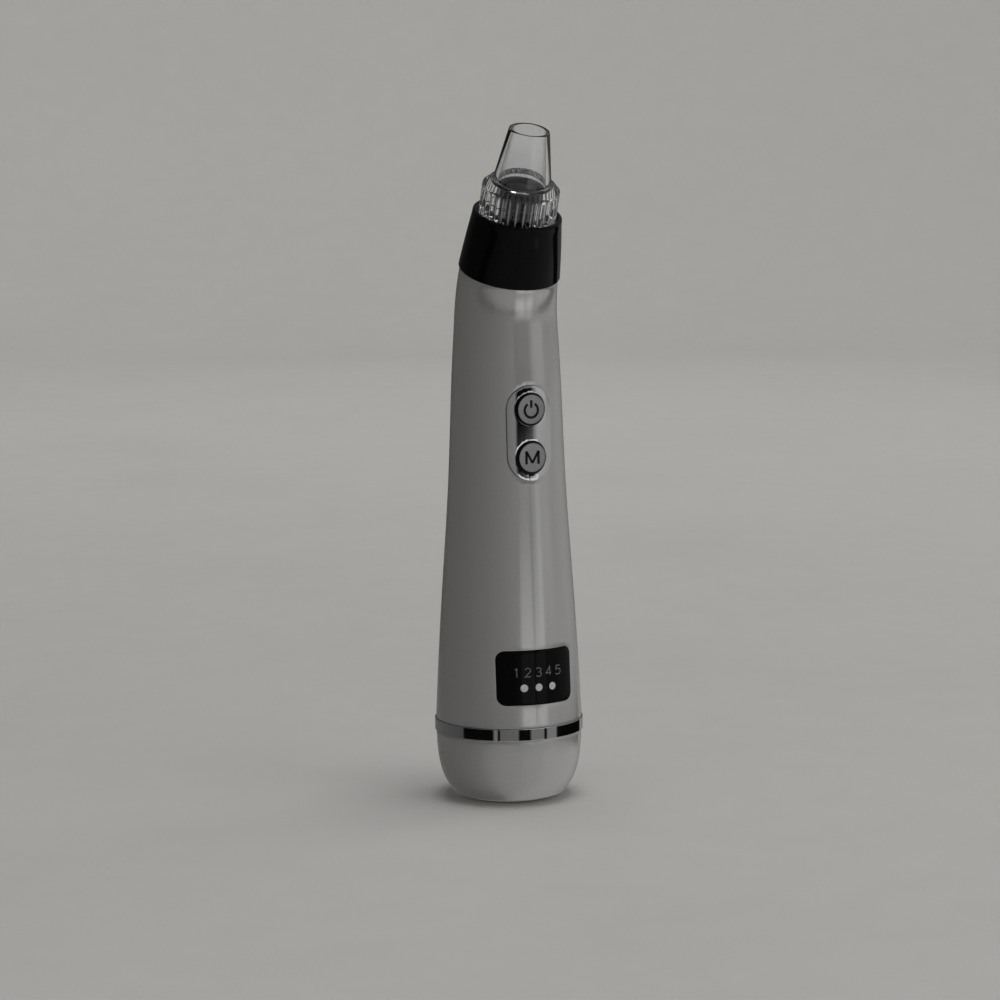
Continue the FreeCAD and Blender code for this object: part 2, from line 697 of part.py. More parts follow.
def thirds(radius):
    """Three points evenly round the pump's axis."""
    angles = [math.radians(120 * i) for i in range(3)]
    return [(radius * math.cos(a), PUMP_Y + radius * math.sin(a)) for a in angles]


def cup_points():
    return thirds(ARM_R)


def screw_points():
    return thirds(SCREW_R)


def drilled(shape, radius, low, high):
    for x, y in screw_points():
        shape = shape.cut(rod(radius, low, high, x, y))
    return shape


def pump_housing():
    cup = turned((3.15, 58.5), (PUMP_R, 58.5), (PUMP_R, DIAPHRAGM_Z - GAP), (CHAMBER_R, DIAPHRAGM_Z - GAP),
                 (CHAMBER_R, 60.1), (3.15, 60.1))
    cup = on_pump_axis(cup)
    for x in (-8.0, 8.0):
        cup = cup.cut(rod(0.95, 50, 62, x, PUMP_Y))
    return drilled(cup, 0.75, 62.0, 72.0)


def motor_screws():
    screws = []
    for x in (-8.0, 8.0):
        screws.append(joined(rod(1.5, 60.15, 61.0, x, PUMP_Y), rod(0.8, 56.4, 60.2, x, PUMP_Y)))
    return Part.makeCompound(screws)


def diaphragm():
    """Rubber sheet with three cups. Each peg ends just above its arm's highest point: that link is open."""
    sheet = rod(PUMP_R - 0.1, DIAPHRAGM_Z, DIAPHRAGM_Z + 1.0, 0, PUMP_Y)
    lean = math.radians(NUTATION_TILT)
    highest = NUTATION_Z + ARM_TOP * math.cos(lean) + (ARM_R + CUP_PEG_R) * math.sin(lean)
    cups, hollows = [], []
    for x, y in cup_points():
        cups += [rod(2.8, 68.3, DIAPHRAGM_Z + 0.5, x, y), rod(CUP_PEG_R, highest + 0.15, 68.5, x, y)]
        hollows.append(rod(2.0, 69.1, DIAPHRAGM_Z + 2, x, y))
    return drilled(joined(sheet, *cups).cut(Part.makeCompound(hollows)), 0.95, 60, 80)


VALVE_Z = 71.55


def valve_plate():
    """Hard plate with an inlet and an outlet port over each cup."""
    plate = rod(PUMP_R - 0.1, VALVE_Z, VALVE_Z + 2.0, 0, PUMP_Y)
    for x, y in cup_points():
        for side in (-1.0, 1.0):
            plate = plate.cut(rod(0.5, 60, 80, x, y + side))
    return drilled(plate, 0.95, 60, 80)


def valve_flaps():
    flaps = [rod(2.1, VALVE_Z + 2.0 + GAP, VALVE_Z + 2.4, x, y) for x, y in cup_points()]
    return Part.makeCompound(flaps)


def pump_cover():
    """Cover with the gallery over the valves, the inlet barb and the short outlet."""
    low, top, barb_top = VALVE_Z + 2.0 + GAP, 78.0, 83.4
    neck = BARB_R - 0.35
    barb = turned((0, top - 1), (neck, top - 1), (neck, barb_top - 1.4), (BARB_R, barb_top - 1.4),
                  (neck, barb_top), (0, barb_top))
    barb.translate(V(HOSE_X, PUMP_Y, 0))
    outlet_y = PUMP_Y + 5.0
    cover = joined(rod(PUMP_R, low, top, 0, PUMP_Y), barb, rod(1.6, top - 1, 80.5, 4.5, outlet_y))
    channel = block((HOSE_X - 0.6, PUMP_Y - 0.7, 74.4), (HOSE_X + 2.4, PUMP_Y + 0.7, 75.6))
    bores = [rod(9.2, low - 1, 75.6, 0, PUMP_Y), rod(0.8, 74.5, 90, HOSE_X, PUMP_Y), channel,
             rod(1.0, 70, 90, 4.5, outlet_y)]
    for tool in bores:
        cover = cover.cut(tool)
    return drilled(cover, 0.95, 60, 80)


def pump_screws():
    screws = [joined(rod(1.5, 78.05, 79.1, x, y), rod(0.7, 64.0, 78.2, x, y)) for x, y in screw_points()]
    return Part.makeCompound(screws)


def hose_points():
    turn = (HOSE_X, PUMP_Y, 144.0)
    return [(HOSE_X, PUMP_Y, 79.0), turn, head_point(0, 0, -5.0), head_point(0, 0, 8.0)]


def suction_hose():
    """Silicone hose from the pump's inlet barb to the nozzle's barb."""
    return swept(hose_points(), HOSE_R).cut(swept(hose_points(), HOSE_BORE))


def motor_leads():
    """From under the motor, up its right side and round the carrier to the board's back."""
    wires = []
    for x, step in ((-7.0, 0.0), (7.0, 1.3)):
        low, pad = 23.0 - step, 99.6 + 2 * step
        wires.append(swept([(x, PUMP_Y, 26.2), (x, PUMP_Y, low), (15.0, 3.0 + step, low),
                            (15.0, 3.0 + step, 88.0), (12.8, -5.6 + step, 93.0), (10.4, -6.4 + step, pad),
                            (7.8, -6.4 + step, pad), (7.8, BOARD_BACK, pad)], 0.5))
    return Part.makeCompound(wires)


def charge_leads():
    """From the charging board, up the motor's left side and round the carrier."""
    wires = []
    for step in (0.0, 1.3):
        pad = 108.0 + 2 * step
        wires.append(swept([(-6.4 + step, 8.0 + step, 9.7), (-6.4 + step, 8.0 + step, 16.0 + step),
                            (-15.0, 3.0 + step, 20.0 + step), (-15.0, 3.0 + step, 88.0),
                            (-13.6, -4.4 + step, 94.0), (-12.4, -6.4 + step, 101.0),
                            (-10.4, -6.4 + step, pad), (-7.8, -6.4 + step, pad),
                            (-7.8, BOARD_BACK, pad)], 0.5))
    return Part.makeCompound(wires)


def led_leads():
    route = [head_point(10.0, 0, 11.0), head_point(10.0, 0, 4.0), (8.2, -5.6, 142.5), (3.6, -6.4, 131.0),
             (3.6, -6.4, 122.0), (3.6, BOARD_BACK, 122.0)]
    return swept(route, 0.5)


def handle_nodes():
    shell = whole_shell()
    return {
        "front_shell": front_shell(shell), "rear_shell": rear_shell(shell), "chrome_band": chrome_band(),
        "base_cap": base_cap(), "foot_pad": foot_pad(), "base_screws": base_screws(),
        "inner_frame": inner_frame(),
    }


def head_nodes():
    return {
        "suction_probe": suction_probe(), "probe_seal": probe_seal(), "nozzle": nozzle(),
        "filter_sponge": filter_sponge(), "head_collar": head_collar(), "led_board": led_board(),
        "head_leds": head_leds(), "light_guide": light_guide(), "suction_hose": suction_hose(),
        "led_leads": led_leads(),
    }


def control_nodes():
    return {
        "button_panel": button_panel(), "power_button": button(POWER_Z), "mode_button": button(MODE_Z),
        "power_switch": switch_body(POWER_Z), "mode_switch": switch_body(MODE_Z),
        "power_plunger": plunger(POWER_Z), "mode_plunger": plunger(MODE_Z),
        "display_window": display_window(), "display_mask": display_mask(),
        "display_board": display_board(), "display_leds": display_leds(), "display_ribbon": display_ribbon(),
    }


def electric_nodes():
    return {
        "main_board": main_board(), "board_chips": board_chips(), "board_screws": board_screws(),
        "battery_cell": battery_cell(), "battery_tabs": battery_tabs(), "battery_leads": battery_leads(),
        "charge_board": charge_board(), "charge_port": charge_port(), "port_tongue": port_tongue(),
        "charge_leads": charge_leads(),
    }


def motor_nodes():
    return {
        "motor_can": motor_can(), "motor_end_bell": motor_end_bell(), "motor_magnets": motor_magnets(),
        "motor_bushes": motor_bushes(), "motor_terminals": motor_terminals(),
        "motor_brushes": motor_brushes(), "rotor_shaft": rotor_shaft(), "armature_core": armature_core(),
        "armature_windings": armature_windings(), "commutator": commutator(), "motor_leads": motor_leads(),
        "motor_screws": motor_screws(),
    }


def pump_nodes():
    return {
        "drive_hub": drive_hub(), "wobble_plate": wobble_plate(), "pump_housing": pump_housing(),
        "diaphragm": diaphragm(), "valve_plate": valve_plate(), "valve_flaps": valve_flaps(),
        "pump_cover": pump_cover(), "pump_screws": pump_screws(),
    }


os.makedirs("parts", exist_ok=True)
for make_group in (handle_nodes, head_nodes, control_nodes, electric_nodes, motor_nodes, pump_nodes):
    for name, shape in make_group().items():
        shape.exportStep(os.path.join("parts", name + ".step"))
        print(f"{name}: {len(shape.Solids)} solid(s), {shape.Volume:.1f} mm3, valid {shape.isValid()}")
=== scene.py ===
"""Looks for a hand-held pore vacuum. Sizes are millimetres in the object's frame, and become metres when
a mesh is made."""
import json
import math

import bpy
from mathutils import Matrix, Vector, geometry


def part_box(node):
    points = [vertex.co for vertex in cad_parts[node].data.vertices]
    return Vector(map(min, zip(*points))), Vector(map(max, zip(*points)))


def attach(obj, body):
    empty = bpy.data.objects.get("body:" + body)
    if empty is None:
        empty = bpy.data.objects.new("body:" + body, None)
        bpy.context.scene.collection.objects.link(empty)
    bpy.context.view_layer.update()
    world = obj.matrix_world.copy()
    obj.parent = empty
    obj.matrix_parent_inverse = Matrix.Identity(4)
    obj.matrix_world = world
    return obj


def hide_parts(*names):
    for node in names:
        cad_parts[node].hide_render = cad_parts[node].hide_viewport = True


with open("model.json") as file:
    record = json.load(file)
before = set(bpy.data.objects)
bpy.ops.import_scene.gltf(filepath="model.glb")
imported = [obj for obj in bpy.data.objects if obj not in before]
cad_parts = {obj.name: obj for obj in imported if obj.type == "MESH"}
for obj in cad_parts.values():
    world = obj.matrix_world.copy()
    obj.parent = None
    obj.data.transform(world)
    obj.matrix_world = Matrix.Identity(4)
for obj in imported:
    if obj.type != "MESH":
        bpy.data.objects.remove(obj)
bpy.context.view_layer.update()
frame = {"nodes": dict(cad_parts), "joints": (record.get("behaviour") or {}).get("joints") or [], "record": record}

MM = 0.001
TURN = 2 * math.pi

# ---- the frame's own measures ----

JOINTS = {joint["name"]: joint for joint in frame["joints"]}
PULL_AXIS = Vector(JOINTS["probe_pull"]["axis"])
HEAD_TILT = math.asin(-PULL_AXIS.y)


def low(node):
    """Lowest corner of a node's box."""
    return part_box(node)[0] / MM


def high(node):
    """Highest corner of a node's box."""
    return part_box(node)[1] / MM


def middle(node):
    """Centre of a node's box."""
    return (low(node) + high(node)) / 2


def collar_foot():
    """Centre of the collar's lower edge: where the head's own frame starts."""
    points = [Vector(v.co) / MM for v in frame["nodes"]["head_collar"].data.vertices]
    along = [p.dot(PULL_AXIS) for p in points]
    foot = [p for p, s in zip(points, along) if s < min(along) + 0.01]
    return sum(foot, Vector()) / len(foot)


# Handle: outer radius at stations along its centre line, upright up to BEND_START and then through the bend
BEND_RADIUS = 47.1
BEND_START = 142.5
BEND_LENGTH = BEND_RADIUS * HEAD_TILT
STATIONS = [(24.05, 21.95), (45, 20.9), (70, 19.25), (95, 17.6), (118, 16.65), (135, 15.85),
            (BEND_START, 15.4), (BEND_START + BEND_LENGTH / 2, 15.05), (BEND_START + BEND_LENGTH, 14.65)]
WALL = 1.8
HEAD_FRAME = Matrix.Translation(collar_foot()) @ Matrix.Rotation(HEAD_TILT, 4, "X")


# ---- curves ----

def spline(knots):
    """Natural cubic through (x, y) knots, as a function."""
    n = len(knots) - 1
    xs, ys = [k[0] for k in knots], [k[1] for k in knots]
    gaps = [xs[i + 1] - xs[i] for i in range(n)]
    low_d, main, up, right = [0.0], [1.0], [0.0], [0.0]
    for i in range(1, n):
        low_d.append(gaps[i - 1])
        main.append(2 * (gaps[i - 1] + gaps[i]))
        up.append(gaps[i])
        right.append(6 * ((ys[i + 1] - ys[i]) / gaps[i] - (ys[i] - ys[i - 1]) / gaps[i - 1]))
    for i in range(1, n):
        share = low_d[i] / main[i - 1]
        main[i] -= share * up[i - 1]
        right[i] -= share * right[i - 1]
    bend = [0.0] * (n + 1)
    for i in range(n - 1, 0, -1):
        bend[i] = (right[i] - up[i] * bend[i + 1]) / main[i]

    def value(x):
        i = max(j for j in range(n) if j == 0 or xs[j] <= x)
        a, b = (xs[i + 1] - x) / gaps[i], (x - xs[i]) / gaps[i]
        curve = ((a ** 3 - a) * bend[i] + (b ** 3 - b) * bend[i + 1]) * gaps[i] ** 2 / 6
        return a * ys[i] + b * ys[i + 1] + curve
    return value


handle_radius = spline(STATIONS)


def handle_point(angle, station, lift=0.0):
    """Point on the handle's skin. Angle 0 is the front; lift is outwards."""
    radius = handle_radius(station) + lift
    ring = Vector((radius * math.sin(angle), -radius * math.cos(angle), 0))
    lean = min(max((station - BEND_START) / BEND_RADIUS, 0.0), HEAD_TILT)
    centre = Vector((0, -BEND_RADIUS * (1 - math.cos(lean)),
                     min(station, BEND_START) + BEND_RADIUS * math.sin(lean)))
    return centre + Matrix.Rotation(lean, 3, "X") @ ring


def front_point(x, z, lift=0.0):
    """Point on the handle's front seen straight on at (x, z)."""
    radius = handle_radius(z) + lift
    return Vector((x, -math.sqrt(radius ** 2 - x ** 2), z))


FILLET_SHARE = 0.48  # the most of a side that the fillet at one of its ends may use


def eased(corners, steps=6):
    """Closed (r, z) outline from (r, z, fillet) corners; a fillet of 0 stays sharp."""
    points = []
    for i, (r, z, fillet) in enumerate(corners):
        here = Vector((r, z))
        if not fillet:
            points.append(here)
            continue
        back = Vector(corners[i - 1][:2]) - here
        ahead = Vector(corners[(i + 1) % len(corners)][:2]) - here
        half = back.angle(ahead) / 2
        reach = min(fillet / math.tan(half), FILLET_SHARE * back.length, FILLET_SHARE * ahead.length)
        start, end = here + back.normalized() * reach, here + ahead.normalized() * reach
        toward = (back.normalized() + ahead.normalized()).normalized()
        radius = reach * math.tan(half)
        centre = here + toward * (radius / math.sin(half))
        for k in range(steps + 1):
            spoke = (start - centre).normalized().slerp((end - centre).normalized(), k / steps)
            points.append(centre + spoke * radius)
    return points


def run(knots, count):
    """Sharp corners spread evenly along a smooth curve through (z, r) knots, as (r, z, 0)."""
    curve = spline(knots)
    first, last = knots[0][0], knots[-1][0]
    heights = [first + (last - first) * i / count for i in range(count + 1)]
    return [(curve(z), z, 0) for z in heights]


# ---- meshes ----

SMOOTH_ANGLE = math.radians(32)  # edges sharper than this stay sharp
ON_AXIS = 1e-6
SAME_POINT = 1e-3
SMALLEST_CORNER = 0.02


def new_piece(name, points, faces, body, look, node=None, slot=None):
    """Mesh from millimetre points, shaded smooth. It rides on a body, and stands for a CAD node if named."""
    mesh = bpy.data.meshes.new(name)
    mesh.from_pydata([Vector(p) * MM for p in points], [], faces)
    mesh.validate()
    mesh.update()
    piece = bpy.data.objects.new(name, mesh)
    bpy.context.scene.collection.objects.link(piece)
    mesh.materials.append(look)
    bpy.context.view_layer.objects.active = piece
    for other in bpy.context.selected_objects:
        other.select_set(False)
    piece.select_set(True)
    bpy.ops.object.mode_set(mode="EDIT")
    bpy.ops.mesh.select_all(action="SELECT")
    bpy.ops.mesh.normals_make_consistent(inside=False)
    bpy.ops.object.mode_set(mode="OBJECT")
    bpy.ops.object.shade_smooth_by_angle(angle=SMOOTH_ANGLE)
    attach(piece, body)
    if node:
        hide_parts(node)
    return piece


def lathed(outline, place=Matrix(), segments=192, shaping=None):
    """Points and faces of a closed (r, z) outline turned about Z. shaping(angle, r, z) may change a radius.
    A corner on the axis becomes one point."""
    rings, points, faces = [], [], []
    for r, z in outline:
        if r < ON_AXIS:
            rings.append([len(points)] * segments)
            points.append(place @ Vector((0, 0, z)))
            continue
        rings.append(list(range(len(points), len(points) + segments)))
        for i in range(segments):
            angle = TURN * i / segments
            radius = shaping(angle, r, z) if shaping else r
            points.append(place @ Vector((radius * math.sin(angle), -radius * math.cos(angle), z)))
    for ring, above in zip(rings, rings[1:] + rings[:1]):
        for i in range(segments):
            j = (i + 1) % segments
            corners = [ring[i], ring[j], above[j], above[i]]
            face = [c for k, c in enumerate(corners) if c != corners[k - 1]]
            if len(set(face)) > 2:
                faces.append(face)
    return points, faces


def inside(point, loop):
    """Whether a 2D point lies in a closed loop."""
    x, y = point
    odd = False
    for (x0, y0), (x1, y1) in zip(loop, loop[1:] + loop[:1]):
        if (y0 > y) != (y1 > y) and x < x0 + (y - y0) * (x1 - x0) / (y1 - y0):
            odd = not odd
    return odd


def skin(border, holes, surface, depth, rim, spacing, rim_steps=4):
    """Closed plate on a curved surface, as points and faces. border and holes give 2D loops at an inset, and
    surface(u, v, lift) places a point. The face's edges are rounded by rim, and its back lies depth below."""
    shapes = [border] + holes
    inner_loops = [shape(rim) for shape in shapes]
    flat, edges = [], []
    for loop in inner_loops:
        start = len(flat)
        flat += [tuple(p) for p in loop]
        edges += [(start + i, start + (i + 1) % len(loop)) for i in range(len(loop))]
    clear = rim + spacing * 0.6
    keep_in, keep_out = border(clear), [hole(clear) for hole in holes]
    us, vs = [p[0] for p in keep_in], [p[1] for p in keep_in]
    columns = max(1, round((max(us) - min(us)) / spacing))
    rows = max(1, round((max(vs) - min(vs)) / spacing))
    for i in range(columns + 1):
        for j in range(rows + 1):
            spot = (min(us) + (max(us) - min(us)) * i / columns,
                    min(vs) + (max(vs) - min(vs)) * j / rows)
            if inside(spot, keep_in) and not any(inside(spot, hole) for hole in keep_out):
                flat.append(spot)
    flat = [Vector(p) for p in flat]
    spots, _, triangles, origins, _, _ = geometry.delaunay_2d_cdt(flat, edges, [], 0, 1e-7)
    top = {origin[0] if origin else ("new", i): i for i, origin in enumerate(origins)}
    points = [surface(spot.x, spot.y, 0.0) for spot in spots]
    points += [surface(spot.x, spot.y, -depth) for spot in spots]
    behind = len(spots)
    faces = []
    outer, inner_holes = inner_loops[0], inner_loops[1:]
    for triangle in triangles:
        centre = sum((spots[i] for i in triangle), Vector((0, 0))) / 3
        if not inside(centre, outer) or any(inside(centre, hole) for hole in inner_holes):
            continue
        faces.append(list(triangle))
        faces.append([behind + i for i in reversed(triangle)])
    start = 0
    for shape, loop in zip(shapes, inner_loops):
        count = len(loop)
        previous = [top[start + i] for i in range(count)]
        for k in range(1, rim_steps + 1):
            turn = math.pi / 2 * k / rim_steps
            inset, drop = rim * (1 - math.sin(turn)), rim * (1 - math.cos(turn))
            ring = list(range(len(points), len(points) + count))
            points += [surface(u, v, -drop) for u, v in shape(inset)]
            faces += strip(previous, ring)
            previous = ring
        ring = list(range(len(points), len(points) + count))
        points += [surface(u, v, -depth) for u, v in shape(0.0)]
        faces += strip(previous, ring)
        faces += strip(ring, [behind + top[start + i] for i in range(count)])
        start += count
    return points, faces


def strip(ring, after):
    """Four-sided faces from one ring of points to the next."""
    count = len(ring)
    return [[ring[i], ring[(i + 1) % count], after[(i + 1) % count], after[i]] for i in range(count)]


def capsule(width, height, centre, sign=1, arc=20, side=14):
    """Loop function of an upright capsule: a rounded rectangle whose corners are half its width."""
    return rounded(width, height, width / 2, centre, sign, arc, side)


def rounded(width, height, corner, centre, sign=1, arc=8, side=24):
    """Loop function of a rounded rectangle, with arc steps round a corner and side steps along a straight.
    sign 1 shrinks with the inset, as a plate does; -1 grows, as a hole does."""
    def loop(inset):
        w, h = width / 2 - sign * inset, height / 2 - sign * inset
        c = min(max(corner - sign * inset, SMALLEST_CORNER), w - 1e-4, h - 1e-4)
        points = []
        centres = [(w - c, h - c, 0), (c - w, h - c, 1), (c - w, c - h, 2), (w - c, c - h, 3)]
        for k, (x, z, quarter) in enumerate(centres):
            for i in range(arc + 1):
                turn = math.pi / 2 * (quarter + i / arc)
                points.append((centre[0] + x + c * math.cos(turn), centre[1] + z + c * math.sin(turn)))
            nx, nz, nq = centres[(k + 1) % 4]
            turn = math.pi / 2 * nq
            end = (centre[0] + nx + c * math.cos(turn), centre[1] + nz + c * math.sin(turn))
            begin = points[-1]
            for i in range(1, side):
                points.append(tuple(a + (b - a) * i / side for a, b in zip(begin, end)))
        return deduplicated(points)
    return loop


def deduplicated(points):
    """Loop without the points that fall on their neighbour where a straight side has no length."""
    return [p for i, p in enumerate(points) if math.dist(p, points[i - 1]) > SAME_POINT]


def circle(radius, centre, count=72):
    """Loop function of a round hole, which grows with the inset."""
    def loop(inset):
        r = radius + inset
        return [(centre[0] + r * math.cos(TURN * i / count), centre[1] + r * math.sin(TURN * i / count))
                for i in range(count)]
    return loop


def merged(*shells):
    """Several closed shells as one mesh."""
    points, faces = [], []
    for more_points, more_faces in shells:
        faces += [[i + len(points) for i in face] for face in more_faces]
        points += more_points
    return points, faces


# ---- materials ----

RELIEF_DEPTH = 0.0002  # metres, what a bump of strength 1 stands for
NOISE_SPAN = (0.3, 0.7)  # the part of a noise's range that its values mostly fall in


def material(name, colour, roughness, tint=0.04, grain=900.0, wear=0.25, bump=0.02, bump_scale=2500.0,
             **sockets):
    """Principled surface whose colour, roughness and relief vary with noise. tint and wear are the shares by
    which colour and roughness vary, grain and bump_scale the noises' scales. sockets sets other inputs."""
    made = bpy.data.materials.new(name)
    made.use_nodes = True
    nodes, links = made.node_tree.nodes, made.node_tree.links
    shader = nodes["Principled BSDF"]
    place = nodes.new("ShaderNodeTexCoord")
    clouds = noise(nodes, links, place, grain, 5)
    ramp = nodes.new("ShaderNodeValToRGB")
    for stop, shift in ((0, 1 - tint), (1, 1 + tint)):
        ramp.color_ramp.elements[stop].position = NOISE_SPAN[stop]
        ramp.color_ramp.elements[stop].color = [min(1.0, c * shift) for c in colour] + [1]
    links.new(clouds.outputs["Fac"], ramp.inputs["Fac"])
    links.new(ramp.outputs["Color"], shader.inputs["Base Color"])
    smears = noise(nodes, links, place, grain / 6, 6)
    spread = nodes.new("ShaderNodeMapRange")
    spread.inputs["From Min"].default_value, spread.inputs["From Max"].default_value = NOISE_SPAN
    spread.inputs["To Min"].default_value = roughness * (1 - wear)
    spread.inputs["To Max"].default_value = roughness * (1 + wear)
    links.new(smears.outputs["Fac"], spread.inputs["Value"])
    links.new(spread.outputs["Result"], shader.inputs["Roughness"])
    relief = nodes.new("ShaderNodeBump")
    relief.inputs["Strength"].default_value = bump
    relief.inputs["Distance"].default_value = RELIEF_DEPTH
    links.new(noise(nodes, links, place, bump_scale, 3).outputs["Fac"], relief.inputs["Height"])
    links.new(relief.outputs["Normal"], shader.inputs["Normal"])
    for socket, value in sockets.items():
        shader.inputs[socket.replace("_", " ")].default_value = value
    return made


def noise(nodes, links, place, scale, detail):
    """Noise that stays with the object."""
    made = nodes.new("ShaderNodeTexNoise")
    made.inputs["Scale"].default_value = scale
    made.inputs["Detail"].default_value = detail
    links.new(place.outputs["Object"], made.inputs["Vector"])
    return made


PAINTED_EDGE_SHADE_SPAN = (0.4, 0.82)  # facing values over which a clear wall passes from clear to a painted dark edge shade


def paint_edge_shade(glass, shade):
    """Clear wall with painted shade: its colour is mixed towards a dark tone where it is seen edge on."""
    nodes, links = glass.node_tree.nodes, glass.node_tree.links
    shader = nodes["Principled BSDF"]
    body = shader.inputs["Base Color"].links[0].from_socket
    edge = nodes.new("ShaderNodeLayerWeight")
    edge.inputs["Blend"].default_value = 0.5
    reach = nodes.new("ShaderNodeMapRange")
    reach.interpolation_type = "SMOOTHSTEP"
    reach.inputs["From Min"].default_value, reach.inputs["From Max"].default_value = PAINTED_EDGE_SHADE_SPAN
    links.new(edge.outputs["Facing"], reach.inputs["Value"])
    mix = nodes.new("ShaderNodeMix")
    mix.data_type = "RGBA"
    mix.inputs["B"].default_value = shade
    links.new(reach.outputs["Result"], mix.inputs["Factor"])
    links.new(body, mix.inputs["A"])
    links.new(mix.outputs["Result"], shader.inputs["Base Color"])


PEARL = material("pearl_silver", (0.47, 0.47, 0.465), 0.17, tint=0.05, grain=4200, wear=0.15, bump=0.012,
                 Metallic=0.55, Coat_Weight=0.3, Coat_Roughness=0.04)
BLACK = material("piano_black", (0.0022, 0.0022, 0.0026), 0.06, tint=0.2, wear=0.3, bump=0.006,
                 Specular_IOR_Level=0.1)
NOZZLE = material("nozzle_black", (0.002, 0.002, 0.0022), 0.25, tint=0.25, bump=0.04, Specular_IOR_Level=0.15)
CLEAR = material("clear_moulding", (0.97, 0.985, 0.99), 0.02, tint=0.008, wear=0.4, bump=0.006,
                 bump_scale=700, Transmission_Weight=1.0, IOR=1.5, Specular_IOR_Level=0.1)
# Painted shade: the clear moulding's colour goes dark at its edges, where it is seen edge on
paint_edge_shade(CLEAR, (0.06, 0.062, 0.065, 1))
# Pale translucent bars that stand in for the highlights on the skirt's rib crests: painted highlight
RIB_HIGHLIGHT = material("painted_rib_highlight", (0.80, 0.81, 0.82), 0.22, tint=0.03, bump=0.03, Transmission_Weight=0.82, IOR=1.5)
FROSTED = material("frosted_guide", (0.83, 0.85, 0.87), 0.45, tint=0.02, bump=0.08, Transmission_Weight=0.35)
CHROME = material("polished_chrome", (0.64, 0.64, 0.65), 0.035, tint=0.01, wear=0.5, bump=0.004, Metallic=1.0)
PANEL_CHROME = material("panel_chrome", (0.62, 0.62, 0.63), 0.03, tint=0.01, wear=0.2, bump=0.004,
                        Metallic=1.0)
SATIN = material("satin_silver", (0.29, 0.29, 0.30), 0.32, tint=0.05, grain=6000, bump=0.06, bump_scale=9000,
                 Metallic=0.85)
LENS = material("smoked_lens", (0.0018, 0.0018, 0.0022), 0.05, tint=0.2, wear=0.35, bump=0.006,
                Specular_IOR_Level=0.08)
INK = material("black_ink", (0.003, 0.003, 0.003), 0.42, tint=0.3, bump=0.05, Specular_IOR_Level=0.2)
DIGIT = material("figure_grey", (0.13, 0.13, 0.133), 0.5, tint=0.08, bump=0.03)
DOT = material("dot_light", (0.60, 0.60, 0.60), 0.45, tint=0.05, bump=0.03)
PAD = material("foot_rubber", (0.018, 0.018, 0.019), 0.75, tint=0.15, bump=0.3, bump_scale=5000)

SLOT_LOOKS = {
    "inner_plastic": material("inner_grey", (0.42, 0.43, 0.43), 0.5, bump=0.12),
    "white_inner": material("inner_white", (0.78, 0.78, 0.76), 0.45, bump=0.1),
    "black_inner": material("inner_black", (0.02, 0.02, 0.02), 0.45, tint=0.15, bump=0.12),
    "soft_rubber": material("rubber", (0.03, 0.03, 0.03), 0.7, tint=0.15, bump=0.2),
    "silicone": material("silicone", (0.62, 0.63, 0.63), 0.35, bump=0.05, Transmission_Weight=0.25),
    "sponge": material("filter_sponge", (0.007, 0.007, 0.0075), 0.9, tint=0.25, grain=2600, bump=0.9,
                       bump_scale=2600),
    "board_green": material("solder_mask", (0.012, 0.11, 0.045), 0.3, tint=0.2, grain=1400, bump=0.15,
                            bump_scale=1400),
    "chip_black": material("chip_epoxy", (0.018, 0.018, 0.019), 0.55, tint=0.15, bump=0.2),
    "led_yellow": material("led_phosphor", (0.80, 0.62, 0.20), 0.4, tint=0.1, bump=0.05),
    "cell_wrap": material("cell_sleeve", (0.03, 0.10, 0.36), 0.3, tint=0.08, bump=0.1),
    "steel": material("bright_steel", (0.56, 0.56, 0.57), 0.28, tint=0.06, bump=0.06, bump_scale=4000,
                      Metallic=1.0),
    "copper": material("copper", (0.72, 0.34, 0.17), 0.3, tint=0.12, bump=0.15, bump_scale=4000,
                       Metallic=1.0),
    "magnet": material("magnet", (0.06, 0.06, 0.062), 0.6, tint=0.2, bump=0.35, Metallic=0.6),
    "wire_red": material("wire_red", (0.42, 0.02, 0.015), 0.4, tint=0.1, bump=0.08),
    "black_nozzle": NOZZLE, "frosted_plastic": FROSTED, "clear_plastic": CLEAR, "white_plastic": PEARL,
    "black_plastic": BLACK, "mirror_chrome": CHROME, "button_silver": SATIN, "smoked_lens": LENS,
}


def dress_nodes():
    """Gives every CAD node the look of its record slot."""
    for entry in frame["record"]["subparts"]:
        node = frame["nodes"][entry["node"]]
        node.data.materials.clear()
        node.data.materials.append(SLOT_LOOKS[entry["material_slot"]])


# ---- head: outlines are (radius, height along the head's axis from the collar's foot, fillet) ----

# Probe
SKIRT = (17.2, 26.2)
SKIRT_BEVEL, SKIRT_STEPS = 0.3, 14
SKIRT_R, SKIRT_BORE = 11.45, 8.45
SHOULDER_FOOT, SHOULDER_TOP, RIM = 26.7, 28.6, 44.4
CONE_BASE_R, RIM_R, RIM_WALL = 8.6, 6.0, 1.0
CUP_FLOOR = 27.0
FLUTES = 32
FLUTE_DEPTH, FLUTE_FADE = 0.7, 0.7
FLUTE_SIDES = 12  # sides of the mesh to each flute
# Size of the pale bars that paint the rib crests' highlights
RIB_HALF_WIDTH, RIB_SINK, RIB_RISE = 0.24, 0.12, 0.17
RIB_TAPER = 0.12  # share of a rib's length over which each end narrows
RIB_SIDES, RIB_ROWS = 10, 13

# Collar
COLLAR_SIDE = [(0.3, 15.15), (9.0, 14.3), (17.0, 13.32)]  # height, radius
COLLAR_FOOT_R, COLLAR_TOP_R = 14.95, 13.25
COLLAR_BORE_R, COLLAR_MOUTH_R = 12.45, 11.95
COLLAR_LEDGE, COLLAR_TOP = 11.25, 18.6

